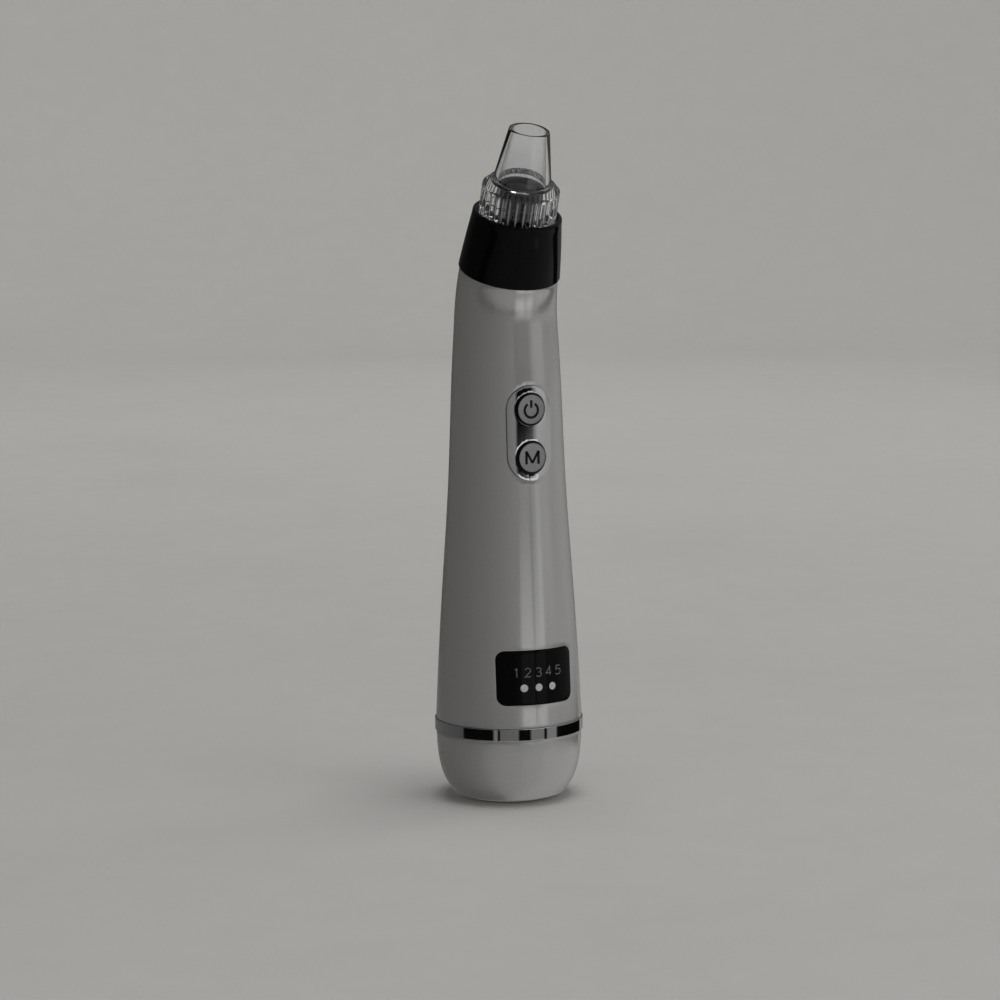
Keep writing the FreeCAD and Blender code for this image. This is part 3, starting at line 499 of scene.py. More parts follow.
# Nozzle, from the hose's barb up to the mouth
PIPE_BORE_R, PIPE_R, BARB_R = 0.8, 1.2, 1.55
PIPE_FOOT, BARB_TOP = 2.8, 4.2
FLANGE_R, FLANGE = 12.35, (9.0, 11.0)
BOSS_R, BOSS_TOP = 8.2, 26.5
GROOVE_R, GROOVE = 7.15, (20.9, 22.3)
MOUTH_R, MOUTH_FLOOR = 5.6, 22.6


def fluted(angle, r, z):
    """Radius with a row of round ribs and sharp grooves down the skirt, fading out at its ends."""
    if r < SKIRT_R - 0.35 or z > SKIRT[1]:
        return r
    fade = min(1.0, (SKIRT[1] - z) / FLUTE_FADE, max(0.0, (z - SKIRT[0])) / 0.1 + 0.55)
    groove = 1 - abs(math.sin(FLUTES * angle / 2))
    return r - FLUTE_DEPTH * fade * groove


def build_probe():
    """Fluted skirt, rounded shoulder, tapering cup with a rolled rim, hollow from both ends."""
    straight_side = SKIRT[1] - SKIRT[0] - SKIRT_BEVEL
    skirt = [(SKIRT_R, SKIRT[0] + SKIRT_BEVEL + straight_side * i / SKIRT_STEPS, 0)
             for i in range(SKIRT_STEPS + 1)]
    corners = [(SKIRT_BORE, SKIRT[0], 0.1), (SKIRT_R - SKIRT_BEVEL, SKIRT[0], 0.1)] + skirt
    corners += [(SKIRT_R, SHOULDER_FOOT, 0.35), (CONE_BASE_R + 0.95, SHOULDER_TOP, 0.3)]
    corners += [(CONE_BASE_R, SHOULDER_TOP, 0.3), (RIM_R, RIM, 0.45), (RIM_R - RIM_WALL, RIM, 0.45)]
    corners += [(CONE_BASE_R - 1.2, CUP_FLOOR, 0.25), (SKIRT_BORE, CUP_FLOOR, 0.2)]
    probe = lathed(eased(corners), HEAD_FRAME, FLUTES * FLUTE_SIDES, fluted)
    new_piece("clear_probe", *probe, "probe", CLEAR, "suction_probe", "clear_plastic")


def build_rib_highlights():
    """Painted highlights on the crests of the skirt's ribs: slim rounded pale bars down its side, narrowing at
    both ends.
    """
    top, foot = SKIRT[1] - 0.35, SKIRT[0] + 0.5
    shells = []
    for k in range(FLUTES):
        turn = TURN * (k + 0.5) / FLUTES
        points = []
        for i in range(RIB_ROWS):
            share = i / (RIB_ROWS - 1)
            swell = math.sin(math.pi * min(share, 1 - share, RIB_TAPER) / (2 * RIB_TAPER))
            z, reach = foot + (top - foot) * share, RIB_HALF_WIDTH * max(0.2, swell)
            for j in range(RIB_SIDES):
                side = TURN * j / RIB_SIDES
                r = SKIRT_R - RIB_SINK + RIB_RISE * math.cos(side)
                angle = turn + reach * math.sin(side) / SKIRT_R
                points.append(HEAD_FRAME @ Vector((r * math.sin(angle), -r * math.cos(angle), z)))
        rings = [list(range(i * RIB_SIDES, (i + 1) * RIB_SIDES)) for i in range(RIB_ROWS)]
        faces = [face for ring, after in zip(rings, rings[1:]) for face in strip(ring, after)]
        shells.append((points, faces + [rings[0][::-1], rings[-1]]))
    new_piece("painted_rib_highlights", *merged(*shells), "probe", RIB_HIGHLIGHT, slot="clear_plastic")


def build_collar():
    """Glossy neck ring with a rounded shoulder and an open mouth round the probe."""
    corners = [(COLLAR_BORE_R, 0, 0.15), (COLLAR_FOOT_R, 0, 0.12)] + run(COLLAR_SIDE, 12)
    corners += [(COLLAR_TOP_R, COLLAR_TOP, 1.1), (COLLAR_MOUTH_R, COLLAR_TOP, 0.25)]
    corners += [(COLLAR_MOUTH_R, COLLAR_LEDGE, 0), (COLLAR_BORE_R, COLLAR_LEDGE, 0)]
    new_piece("neck_collar", *lathed(eased(corners), HEAD_FRAME, 256), "handle", BLACK, "head_collar",
              "black_plastic")


def build_nozzle():
    """Boss with its seal groove, a rolled lip and a stepped mouth over the filter."""
    corners = [(PIPE_BORE_R, PIPE_FOOT, 0), (PIPE_R, PIPE_FOOT, 0), (BARB_R, BARB_TOP, 0)]
    corners += [(PIPE_R, BARB_TOP, 0), (PIPE_R, FLANGE[0], 0), (FLANGE_R, FLANGE[0], 0.2)]
    corners += [(FLANGE_R, FLANGE[1], 0.2), (BOSS_R, FLANGE[1], 0.4), (BOSS_R, GROOVE[0], 0.12)]
    corners += [(GROOVE_R, GROOVE[0], 0), (GROOVE_R, GROOVE[1], 0), (BOSS_R, GROOVE[1], 0.12)]
    corners += [(BOSS_R, BOSS_TOP, 0.5), (MOUTH_R, BOSS_TOP, 0.35), (MOUTH_R, MOUTH_FLOOR, 0)]
    corners += [(PIPE_BORE_R, MOUTH_FLOOR, 0)]
    new_piece("nozzle_boss", *lathed(eased(corners), HEAD_FRAME), "handle", NOZZLE, "nozzle", "black_nozzle")


# ---- handle: outlines are (radius, height, fillet) ----

SKIN_SPAN = 18.0  # a half shell's width in u for each radian round the handle
SHELL_RIM, SHELL_GRID = 0.12, 1.1
HANDLE_FOOT = high("chrome_band").z + 0.05
HANDLE_TOP = BEND_START + BEND_LENGTH - 0.05
PANEL_CENTRE = middle("button_panel")
PANEL = (high("button_panel").x * 2, high("button_panel").z - low("button_panel").z)
KEYS = {"power": middle("power_button").z, "mode": middle("mode_button").z}
KEY_HOLE = 4.85
RECESS_DEPTH, LEDGE_DEPTH = 0.65, 1.4
RECESS_GAP, WINDOW_GAP = 0.12, 0.06
WINDOW_CENTRE = middle("display_window")
WINDOW = (high("display_window").x * 2, high("display_window").z - low("display_window").z)
WINDOW_CORNER = 2.6


def skin_point(offset):
    """Surface function of a half shell whose middle line stands at that angle."""
    return lambda u, v, lift: handle_point(offset + u / SKIN_SPAN, v, lift)


def onto_skin(loop):
    """Carries a loop drawn straight on at the front or rear to a shell's own (u, v)."""
    def carried(inset):
        return [(SKIN_SPAN * math.asin(x / handle_radius(z)), z) for x, z in loop(inset)]
    return carried


def half_border(inset):
    """Edge of a half shell: up both parting lines and across both ends."""
    edge = math.pi / 2 * SKIN_SPAN - inset
    foot, top = HANDLE_FOOT + inset, HANDLE_TOP - inset
    across = [(-edge + 2 * edge * i / 60, foot) for i in range(60)]
    up = [(edge, foot + (top - foot) * i / 120) for i in range(120)]
    return across + up + [(-u, top + foot - v) for u, v in across] + [(-u, foot + top - v) for u, v in up]


def build_front_shell():
    """Front half with the panel's recess and floor, and the window's opening and ledge."""
    centre, window_centre = (0, PANEL_CENTRE.z), (0, WINDOW_CENTRE.z)
    recess = capsule(PANEL[0] + 2 * RECESS_GAP, PANEL[1] + 2 * RECESS_GAP, centre, -1)
    opening = rounded(WINDOW[0] + 2 * WINDOW_GAP, WINDOW[1] + 2 * WINDOW_GAP, WINDOW_CORNER,
                      window_centre, -1)
    shell = skin(half_border, [onto_skin(recess), onto_skin(opening)], skin_point(0), WALL, SHELL_RIM,
                 SHELL_GRID)
    floor = skin(capsule(PANEL[0] + 0.2, PANEL[1] + 0.2, centre),
                 [circle(KEY_HOLE + 0.1, (0, z)) for z in KEYS.values()],
                 lambda x, z, lift: front_point(x, z, lift - RECESS_DEPTH), WALL - RECESS_DEPTH, 0.05, 1.2)
    ledge = skin(rounded(WINDOW[0] + 0.08, WINDOW[1] + 0.08, WINDOW_CORNER, window_centre),
                 [rounded(WINDOW[0] - 3, WINDOW[1] - 3, 1.2, window_centre, -1)],
                 lambda x, z, lift: front_point(x, z, lift - LEDGE_DEPTH), WALL - LEDGE_DEPTH, 0.05, 1.2)
    new_piece("shell_front", *merged(shell, floor, ledge), "handle", PEARL, "front_shell", "white_plastic")


VENTS = (33.0, 36.0, 39.0)
VENT = (9.2, 1.2)


def build_rear_shell():
    """Rear half with the pump's three outlet slots."""
    slots = [onto_skin(rounded(*VENT, VENT[1] / 2, (0, z), -1, 10, 16)) for z in VENTS]
    shell = skin(half_border, slots, skin_point(math.pi), WALL, SHELL_RIM, SHELL_GRID)
    new_piece("shell_rear", *shell, "handle", PEARL, "rear_shell", "white_plastic")


BAND_BORE_R, BAND_CORNER, BAND_STEPS = 20.3, 0.12, 6


def build_band():
    """Polished ring with a flat face and small rounded corners."""
    foot, top, r = low("chrome_band").z, high("chrome_band").z, high("chrome_band").x
    side = [(r, foot + 0.2 + (top - foot - 0.4) * i / BAND_STEPS, 0) for i in range(BAND_STEPS + 1)]
    corners = [(BAND_BORE_R, foot, 0), (r, foot, BAND_CORNER)] + side
    corners += [(r, top, BAND_CORNER), (BAND_BORE_R, top, 0)]
    new_piece("band", *lathed(eased(corners, 8), Matrix(), 320), "handle", CHROME, "chrome_band",
              "mirror_chrome")


CAP_TOP = high("base_cap").z
CAP_SIDE = [(1.35, 16.7), (4.5, 18.85), (9.3, 20.7), (14.4, 21.55), (CAP_TOP - 0.3, 21.85)]  # height, radius
CAP_INSIDE = [(3.2, 13.6), (5.0, 16.8), (9.6, 18.85), (16.0, 19.6)]
CAP_FOOT, CAP_FLOOR, CAP_MOUTH_R = 0.4, 3.2, 20.3
PAD_RECESS_R, PAD_RECESS = 13.1, 1.45
PORT_CENTRE = middle("charge_port")
PORT_HOLE = (9.4, 3.7)


def build_base():
    """Rounded cup with the foot's recess and, at the rear, the charging hole."""
    corners = [(0, PAD_RECESS, 0), (PAD_RECESS_R, PAD_RECESS, 0), (PAD_RECESS_R, CAP_FOOT, 0.15)]
    corners += [(PAD_RECESS_R + 0.8, CAP_FOOT, 0.4)] + run(CAP_SIDE, 26)
    corners += [(21.7, CAP_TOP, 0.1), (CAP_MOUTH_R, CAP_TOP, 0), (CAP_MOUTH_R, 16.9, 0)]
    corners += run(CAP_INSIDE, 10)[::-1] + [(0, CAP_FLOOR, 0)]
    cup = new_piece("base_cup", *lathed(eased(corners), Matrix(), 256), "handle", PEARL, "base_cap",
                    "white_plastic")
    port = rounded(*PORT_HOLE, PORT_HOLE[1] / 2, (0, PORT_CENTRE.z), 1, 12, 4)(0)
    tool = new_piece("port_tool", *prism(port, 12.0, 26.0), "handle", PEARL)
    cut(cup, tool)


def prism(loop, near, far):
    """Closed bar along Y from an (x, z) loop."""
    count = len(loop)
    points = [Vector((x, near, z)) for x, z in loop] + [Vector((x, far, z)) for x, z in loop]
    front, rear = list(range(count)), list(range(count, 2 * count))
    return points, strip(front, rear) + [front[::-1], rear]


def cut(piece, tool):
    """Takes the tool's solid out of the piece and removes the tool."""
    modifier = piece.modifiers.new("cut", "BOOLEAN")
    modifier.object, modifier.solver, modifier.operation = tool, "EXACT", "DIFFERENCE"
    bpy.context.view_layer.objects.active = piece
    bpy.ops.object.modifier_apply(modifier=modifier.name)
    bpy.data.objects.remove(tool)


GRIP_DEPTH, PAD_TOP = 0.12, 1.4


def build_foot():
    """Pad with a rolled edge and two low grip rings."""
    r = high("foot_pad").x
    corners = [(0, GRIP_DEPTH, 0), (3.4, GRIP_DEPTH, 0), (3.7, 0, 0.1), (7.2, 0, 0.1), (7.5, GRIP_DEPTH, 0)]
    corners += [(8.3, GRIP_DEPTH, 0), (8.6, 0, 0.1), (r - 0.4, 0, 0.15), (r, 0.4, 0.15), (r, PAD_TOP, 0)]
    corners += [(0, PAD_TOP, 0)]
    new_piece("grip_foot", *lathed(eased(corners, 3), Matrix(), 160), "handle", PAD, "foot_pad",
              "soft_rubber")


# ---- front controls ----

PANEL_LIFT = 0.35
BLACK_RING_WIDTH, BLACK_RING_SINK = 0.46, 0.12
KEY_R, SURROUND_R, STEM_R = 4.29, 4.45, 2.0
FLANGE_BACK = 1.8


def build_panel():
    """Polished capsule plate with rolled edges, following the handle, and a black ring round each of its holes."""
    holes = [circle(KEY_HOLE, (0, z)) for z in KEYS.values()]
    plate = skin(capsule(*PANEL, (0, PANEL_CENTRE.z), 1, 28, 40), holes,
                 lambda x, z, lift: front_point(x, z, lift + PANEL_LIFT), 0.9, 0.04, 0.5, 6)
    new_piece("panel_plate", *plate, "handle", PANEL_CHROME, "button_panel", "mirror_chrome")
    # A flat black ring laid on the plate's face round each key hole
    black_rings = [stroke(bow((0, z), KEY_HOLE - BLACK_RING_SINK, 0, 360, 96)[:-1], BLACK_RING_WIDTH,
                      lambda x, z, lift: front_point(x, z, lift + PANEL_LIFT + 0.01), True)
               for z in KEYS.values()]
    new_piece("key_hole_linings", *merged(*black_rings), "handle", INK)


STOP_GAP, STOP_THICKNESS = 0.12, 0.7  # the flange that keeps a key in


def build_key(name, key_z):
    """Round cap in a black surround, with a gently dished face, and the hidden flange and stem behind it.
    Returns the y that the key's mark is centred on."""
    node = name + "_button"
    face, back = low(node).y, high(node).y
    r, flange_r = KEY_R, high(node).x
    flange = back - FLANGE_BACK
    corners = [(0, -back, 0), (STEM_R, -back, 0), (STEM_R, -flange, 0), (r, -flange, 0),
               (r, -face - 0.04, 0.05), (r - 0.14, -face - 0.04, 0.04), (r - 0.3, -face - 0.14, 0.08),
               (0, -face - 0.16, 0)]
    place = Matrix.Translation((0, 0, key_z)) @ Matrix.Rotation(math.pi / 2, 4, "X")
    cap = lathed(eased(corners, 5), place, 120)
    # The flange's front lies just behind the shell's inside, which keeps the key in
    stop_y = -math.sqrt((handle_radius(key_z) - WALL) ** 2 - flange_r ** 2) + STOP_GAP
    stop_back = -stop_y - STOP_THICKNESS
    stop = [(STEM_R, stop_back, 0), (flange_r, stop_back, 0.1), (flange_r, -stop_y, 0.1),
            (STEM_R, -stop_y, 0)]
    flange_ring = lathed(eased(stop, 3), place, 96)
    new_piece(name + "_key_cap", *merged(cap, flange_ring), name + "_key", SATIN, node, "button_silver")
    bezel = [(r - 0.05, -flange, 0), (SURROUND_R, -flange, 0), (SURROUND_R, -face, 0.07), (r, -face, 0.05),
             (r - 0.05, -face - 0.1, 0)]
    new_piece(name + "_key_surround", *lathed(eased(bezel, 4), place, 120), name + "_key", INK)
    return face + 0.13


# ---- marks: generic control symbols, thin inlays on the faces ----

STROKE_RISE = 0.035
SHARPEST = 0.35  # a ribbon's corner reaches out no further than half its width over this


def stroke(path, width, surface, closed=False):
    """Flat closed ribbon along a smooth or cornered 2D path, laid on a surface and standing a hair proud."""
    count = len(path)
    sides = []
    for i, here in enumerate(path):
        before = path[i - 1] if closed or i else here
        after = path[(i + 1) % count] if closed or i + 1 < count else here
        along = [Vector(b) - Vector(a) for a, b in ((before, here), (here, after)) if math.dist(a, b) > 1e-9]
        normals = [Vector((-d.y, d.x)).normalized() for d in along]
        across = sum(normals, Vector((0, 0))).normalized()
        reach = width / 2 / max(SHARPEST, across.dot(normals[0]))
        sides.append((Vector(here) + across * reach, Vector(here) - across * reach))
    points, faces = [], []
    for lift in (STROKE_RISE, -STROKE_RISE):
        for one, other in sides:
            points += [surface(one.x, one.y, lift), surface(other.x, other.y, lift)]
    lower = 2 * count
    for i in range(count if closed else count - 1):
        a, b = 2 * i, 2 * ((i + 1) % count)
        faces += [[a, a + 1, b + 1, b], [lower + a, lower + b, lower + b + 1, lower + a + 1],
                  [a, b, lower + b, lower + a], [a + 1, lower + a + 1, lower + b + 1, b + 1]]
    if not closed:
        last = 2 * (count - 1)
        faces += [[0, lower, lower + 1, 1], [last, last + 1, lower + last + 1, lower + last]]
    return points, faces


def bow(centre, radius, start, end, count=40, squeeze=1.0):
    """Points along an arc, angles in degrees, anticlockwise from +x."""
    turns = [math.radians(start + (end - start) * i / count) for i in range(count + 1)]
    return [(centre[0] + radius * math.cos(t), centre[1] + squeeze * radius * math.sin(t)) for t in turns]


def straight(points, step=0.3):
    """The same corners with points added along each side, so that a ribbon can follow a curved face."""
    found = [points[0]]
    for a, b in zip(points, points[1:]):
        pieces = max(1, round(math.dist(a, b) / step))
        found += [tuple(p + (q - p) * i / pieces for p, q in zip(a, b)) for i in range(1, pieces + 1)]
    return found


def flat_face(y, key_z):
    """A key's face seen straight on: (x, z) about its centre."""
    return lambda x, z, lift: Vector((x, y - lift, key_z + z))


POWER_STROKE = 0.74
MODE_HALF = 1.95  # half the letter's width and half its height


def build_power_mark(y):
    """Common power sign: an open ring with a bar in its gap."""
    face = flat_face(y, KEYS["power"])
    ring = stroke(bow((0, -0.3), 2.14, 122, 418), POWER_STROKE, face)
    bar = stroke(straight([(0, 0.45), (0, 2.7)]), POWER_STROKE, face)
    new_piece("power_mark", *merged(ring, bar), "power_key", INK)


def build_mode_mark(y):
    """Plain letter M, for mode."""
    face = flat_face(y, KEYS["mode"])
    h = MODE_HALF
    legs = [stroke(straight([(x, -h), (x, h)]), 0.78, face) for x in (-h, h)]
    slopes = [stroke(straight([(s * h, h - 0.1), (0, -h + 0.35)]), 0.7, face) for s in (-1, 1)]
    new_piece("mode_mark", *merged(*legs, *slopes), "mode_key", INK)


DIGIT_HALF = 1.25
DIGIT_SPREAD = 1.25
DIGIT_PITCH = 3.4
DIGIT_STROKE = 0.3
FIGURE_Z = 40.7
DOT_Z = 36.1
DOT_PITCH = 4.6
DOT_R = 1.12
DOT_RISE = 0.05


def digit_paths():
    """The figures 1 to 5 as single strokes, each about its own middle and 2 DIGIT_HALF high."""
    h, q = DIGIT_HALF, DIGIT_HALF / 2
    two = bow((0, q), 0.68, 165, -35, 16) + [(-0.68, -h), (0.72, -h)]
    three = bow((-0.02, q), 0.62, 150, -80, 14) + bow((-0.02, -q), 0.70, 80, -150, 14)
    four = [(0.32, -h), (0.32, h), (-0.72, -0.55), (0.72, -0.55)]
    five = [(0.6, h), (-0.5, h), (-0.58, 0.12)] + bow((-0.02, -0.5), 0.78, 130, -145, 16, 1.08)
    return [[(-0.28, h - 0.35), (0.1, h), (0.1, -h)], two, three, four, five]


def build_display():
    """Smoked lens with dim figures 1 to 5 over three level dots."""
    centre = (0, WINDOW_CENTRE.z)
    lens = skin(rounded(*WINDOW, WINDOW_CORNER, centre, 1, 10, 30), [], front_point, 1.3, 0.14, 0.6, 5)
    new_piece("display_lens", *lens, "handle", LENS, "display_window", "smoked_lens")
    marks = []
    for i, path in enumerate(digit_paths()):
        x = (i - 2) * DIGIT_PITCH
        placed = [(x + DIGIT_SPREAD * px, FIGURE_Z + pz) for px, pz in path]
        marks.append(stroke(straight(placed), DIGIT_STROKE, front_point))
    new_piece("display_figures", *merged(*marks), "handle", DIGIT)
    dots = [dot((k * DOT_PITCH, DOT_Z), DOT_R) for k in (-1, 0, 1)]
    new_piece("level_dots", *merged(*dots), "handle", DOT)


def dot(centre, radius, rings=5, count=48):
    """Low rounded button of light, bedded in the lens."""
    def ring(r, lift):
        return [front_point(centre[0] + r * math.cos(TURN * i / count),
                            centre[1] + r * math.sin(TURN * i / count), lift) for i in range(count)]

    points, faces = [], []
    for k in range(rings + 1):
        points += ring(radius * (1 - (k / (rings + 1)) ** 2), DOT_RISE * math.sin(math.pi / 2 * k / rings))
        if k:
            a, b = (k - 1) * count, k * count
            faces += strip(range(a, a + count), range(b, b + count))
    faces.append(list(range(rings * count, (rings + 1) * count)))
    base = len(points)
    points += ring(radius, -DOT_RISE)
    faces += [[i, base + i, base + (i + 1) % count, (i + 1) % count] for i in range(count)]
    faces.append([base + i for i in reversed(range(count))])
    return points, faces


# ---- studio ----

VIEW_AZIMUTH, VIEW_ELEVATION = math.radians(-25), math.radians(7)
VIEW_ROLL = math.radians(0.5)
VIEW_DISTANCE = 1.0
VIEW_LENS = 120.4
VIEW_TARGET = Vector((0, 0, 0.1))
# The aim is this far below the target and to its left, which frames the object
VIEW_DROP = 0.0104
VIEW_SIDE = 0.0021


def build_camera():
    """Camera at the front left of the object and a little above it. It and the lamps are placed in metres."""
    back = Vector((math.sin(VIEW_AZIMUTH) * math.cos(VIEW_ELEVATION),
                   -math.cos(VIEW_AZIMUTH) * math.cos(VIEW_ELEVATION), math.sin(VIEW_ELEVATION)))
    right = Vector((math.cos(VIEW_AZIMUTH), math.sin(VIEW_AZIMUTH), 0))
    up = back.cross(right)
    camera = bpy.data.objects.new("camera", bpy.data.cameras.new("camera"))
    bpy.context.scene.collection.objects.link(camera)
    camera.location = VIEW_TARGET + back * VIEW_DISTANCE
    aim = VIEW_TARGET - up * VIEW_DROP - right * VIEW_SIDE
    level = (aim - camera.location).to_track_quat("-Z", "Y").to_matrix()
    camera.rotation_euler = (level @ Matrix.Rotation(-VIEW_ROLL, 3, "Z")).to_euler()
    camera.data.lens = VIEW_LENS
    camera.data.sensor_width = 36
    camera.data.clip_start = 0.01
    bpy.context.scene.camera = camera


def softbox(name, bearing, distance, height, size, glow, aim=(0, 0, 0.1), mirrored=False):
    """Rectangular lamp at a bearing round the object (0 is the front), facing aim. It lights the matt share
    of the faces, or with mirrored only shows in the glossy ones. glow is its face's radiance."""
    data = bpy.data.lights.new(name, "AREA")
    data.shape = "RECTANGLE"
    data.size, data.size_y = size
    data.energy = glow * math.pi * size[0] * size[1]
    lamp = bpy.data.objects.new(name, data)
    bpy.context.scene.collection.objects.link(lamp)
    turn = math.radians(bearing)
    lamp.location = (distance * math.sin(turn), -distance * math.cos(turn), height)
    lamp.rotation_euler = (Vector(aim) - lamp.location).to_track_quat("-Z", "Y").to_euler()
    lamp.visible_camera = False
    lamp.visible_glossy = mirrored
    lamp.visible_diffuse = not mirrored
    lamp.visible_transmission = not mirrored


# What the glossy faces see round them, as (bearing in degrees, brightness). The gaps are dark, as between
# windows
WALL_FLOOR = [(-180, 0.10), (-125, 0.09), (-80, 0.18), (-50, 0.34), (-12, 0.40), (-10, 0.3), (-8, 0.41),
              (22, 0.46), (24, 0.36), (26, 0.48), (55, 0.55), (105, 0.50), (140, 0.2), (180, 0.10)]
WALL_LOW = [(-180, 0.12), (-140, 0.10), (-102, 0.08), (-99, 0.003), (-50, 0.003), (-47, 0.2), (-43, 0.2),
            (-42, 0.003), (-39, 0.003), (-38, 0.14), (-11, 0.16), (-9, 0.003), (8, 0.003), (11, 0.2),
            (31, 0.2), (32, 0.003), (36, 0.003), (37, 0.24), (53, 0.24), (56, 0.003), (118, 0.003),
            (122, 0.3), (150, 0.2), (180, 0.12)]
WALL_NEAR = [(-180, 0.05), (-122, 0.07), (-60, 0.14), (-14, 0.22), (-9, 0.34), (9, 0.37), (11, 0.26),
             (13, 0.39), (30, 0.41), (34, 0.4), (70, 0.42), (105, 0.38), (140, 0.12), (180, 0.05)]
WALL_LEVEL = [(-180, 0.05), (-150, 0.05), (-122, 0.06), (-99, 0.09), (-60, 0.14), (-36, 0.18), (-8, 0.26),
              (-3, 0.004), (27, 0.004), (40, 0.5), (60, 0.5), (66, 0.3), (105, 0.26), (135, 0.12),
              (155, 0.05), (180, 0.05)]
WALL_HIGH = [(-180, 0.12), (-130, 0.10), (-80, 0.10), (-30, 0.18), (30, 0.35), (90, 0.40), (140, 0.2),
             (180, 0.12)]
# Elevations in degrees over which one band of walls passes into the next
FLOOR_TO_LOW = (-14.4, -13.8)
LOW_TO_NEAR = (-9.4, -8.8)
NEAR_TO_LEVEL = (-3.6, -2.2)
LEVEL_TO_HIGH = (9, 18)


def bearing_ramp(nodes, links, share, stops):
    """Brightness round the horizon from (bearing, brightness) stops."""
    ramp = nodes.new("ShaderNodeValToRGB")
    marks = ramp.color_ramp.elements
    for bearing, glow in stops:
        position = bearing / 360 + 0.5
        mark = marks[0] if bearing == -180 else marks[-1] if bearing == 180 else marks.new(position)
        mark.position = position
        mark.color = (glow, glow * 0.99, glow * 0.97, 1)
    links.new(share.outputs["Value"], ramp.inputs["Fac"])
    return ramp


def blended_by_height(nodes, links, height, span, lower, upper):
    """Passes from one ramp to the next between two elevations in degrees."""
    step = nodes.new("ShaderNodeMapRange")
    step.interpolation_type = "SMOOTHSTEP"
    step.inputs["From Min"].default_value = math.sin(math.radians(span[0]))
    step.inputs["From Max"].default_value = math.sin(math.radians(span[1]))
    links.new(height, step.inputs["Value"])
    mix = nodes.new("ShaderNodeMix")
    mix.data_type = "RGBA"
    links.new(step.outputs["Result"], mix.inputs["Factor"])
    links.new(lower, mix.inputs["A"])
    links.new(upper, mix.inputs["B"])
    return mix.outputs["Result"]


def build_surroundings():
    """World light: lit walls and dark gaps by bearing, in five bands of height."""
    world = bpy.data.worlds.new("studio")
    bpy.context.scene.world = world
    world.use_nodes = True
    nodes, links = world.node_tree.nodes, world.node_tree.links
    place = nodes.new("ShaderNodeTexCoord")
    parts = nodes.new("ShaderNodeSeparateXYZ")
    links.new(place.outputs["Generated"], parts.inputs["Vector"])
    forward = nodes.new("ShaderNodeMath")
    forward.operation = "MULTIPLY"
    forward.inputs[1].default_value = -1
    links.new(parts.outputs["Y"], forward.inputs[0])
    bearing = nodes.new("ShaderNodeMath")
    bearing.operation = "ARCTAN2"
    links.new(parts.outputs["X"], bearing.inputs[0])
    links.new(forward.outputs["Value"], bearing.inputs[1])
    share = nodes.new("ShaderNodeMath")
    share.operation = "MULTIPLY_ADD"
    share.inputs[1].default_value = 1 / TURN
    share.inputs[2].default_value = 0.5
    links.new(bearing.outputs["Value"], share.inputs[0])
    seen = bearing_ramp(nodes, links, share, WALL_FLOOR).outputs["Color"]
    for span, stops in ((FLOOR_TO_LOW, WALL_LOW), (LOW_TO_NEAR, WALL_NEAR), (NEAR_TO_LEVEL, WALL_LEVEL),
                        (LEVEL_TO_HIGH, WALL_HIGH)):
        wall = bearing_ramp(nodes, links, share, stops).outputs["Color"]
        seen = blended_by_height(nodes, links, parts.outputs["Z"], span, seen, wall)
    links.new(seen, nodes["Background"].inputs["Color"])


COVE_FLOOR, COVE_WALL, COVE_TOP = 1500.0, 2300.0, 2600.0  # radii of the floor and wall, and the wall's height
COVE_BEND_STEPS, COVE_SIDES = 24, 128


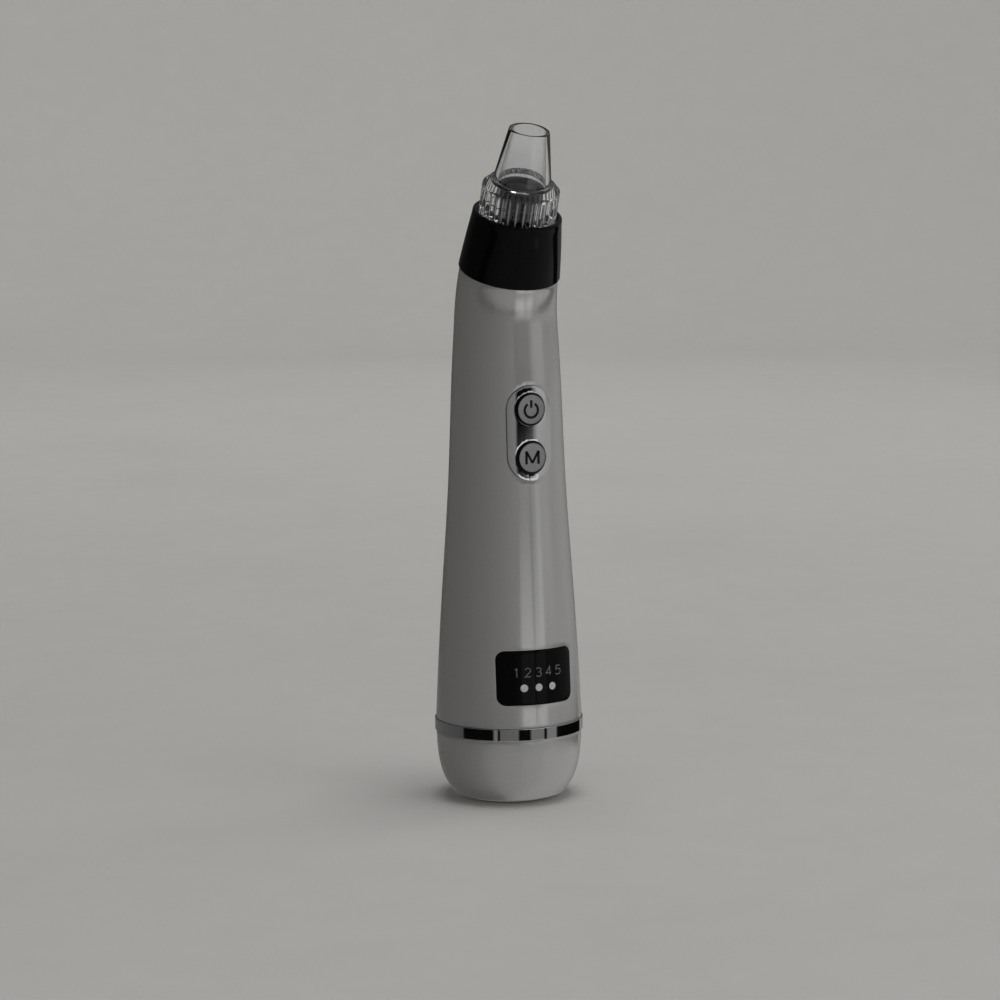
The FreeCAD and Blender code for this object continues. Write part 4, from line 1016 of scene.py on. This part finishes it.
def build_cove():
    """Plain pale paper all round: a flat floor that curves up into a wall. Glossy faces look past it."""
    paper = material("studio_paper", (0.54, 0.532, 0.519), 0.9, tint=0.012, grain=50, bump=0.01)
    bend = COVE_WALL - COVE_FLOOR
    outline = [(0, 0), (400, 0), (900, 0)]
    for i in range(COVE_BEND_STEPS + 1):
        turn = math.pi / 2 * i / COVE_BEND_STEPS
        outline.append((COVE_FLOOR + bend * math.sin(turn), bend * (1 - math.cos(turn))))
    outline.append((COVE_WALL, COVE_TOP))
    points = [Vector((r * math.sin(TURN * i / COVE_SIDES), -r * math.cos(TURN * i / COVE_SIDES), z)) * MM
              for r, z in outline for i in range(COVE_SIDES)]
    rings = [list(range(k * COVE_SIDES, (k + 1) * COVE_SIDES)) for k in range(len(outline))]
    faces = [face for ring, after in zip(rings, rings[1:]) for face in strip(ring, after)]
    mesh = bpy.data.meshes.new("cove")
    mesh.from_pydata(points, [], faces)
    mesh.materials.append(paper)
    for polygon in mesh.polygons:
        polygon.use_smooth = True
    cove = bpy.data.objects.new("cove", mesh)
    bpy.context.scene.collection.objects.link(cove)
    cove.visible_glossy = False
    cove.visible_shadow = False


def build_studio():
    """Walls, paper, three soft lamps, three panes for the glossy faces, and four lamps washing the wall."""
    build_surroundings()
    build_cove()
    softbox("sky", 65, 0.15, 2.5, (1.2, 1.2), 5.6, (0, 0, 0))
    softbox("key_fill", 40, 1.2, 0.6, (0.9, 1.2), 0.66)
    softbox("right_fill", 95, 1.2, 0.5, (0.6, 1.0), 0.68)
    softbox("low_pane_left", 6.75, 0.5, 0.01, (0.19, 0.14), 0.52, (0, 0, 0.01), mirrored=True)
    softbox("low_pane_right", 29, 0.5, 0.01, (0.15, 0.14), 0.42, (0, 0, 0.01), mirrored=True)
    softbox("high_pane", 16, 0.5, 0.174, (0.36, 0.092), 0.2, (0, 0, 0.174), mirrored=True)
    for turn in range(4):
        bearing = math.degrees(VIEW_AZIMUTH) + 90 * turn
        outward = Vector((math.sin(math.radians(bearing)), -math.cos(math.radians(bearing)), 0)) * 2.1
        softbox(f"wall_wash_{turn}", bearing, 0.95, 1.1, (1.3, 0.35), 2.7, outward + Vector((0, 0, 0.3)))
    bpy.context.scene.view_settings.view_transform = "Standard"


# ---- assembly ----

dress_nodes()
build_probe()
build_rib_highlights()
build_collar()
build_nozzle()
build_front_shell()
build_rear_shell()
build_band()
build_base()
build_foot()
build_panel()
build_power_mark(build_key("power", KEYS["power"]))
build_mode_mark(build_key("mode", KEYS["mode"]))
build_display()
build_camera()
build_studio()
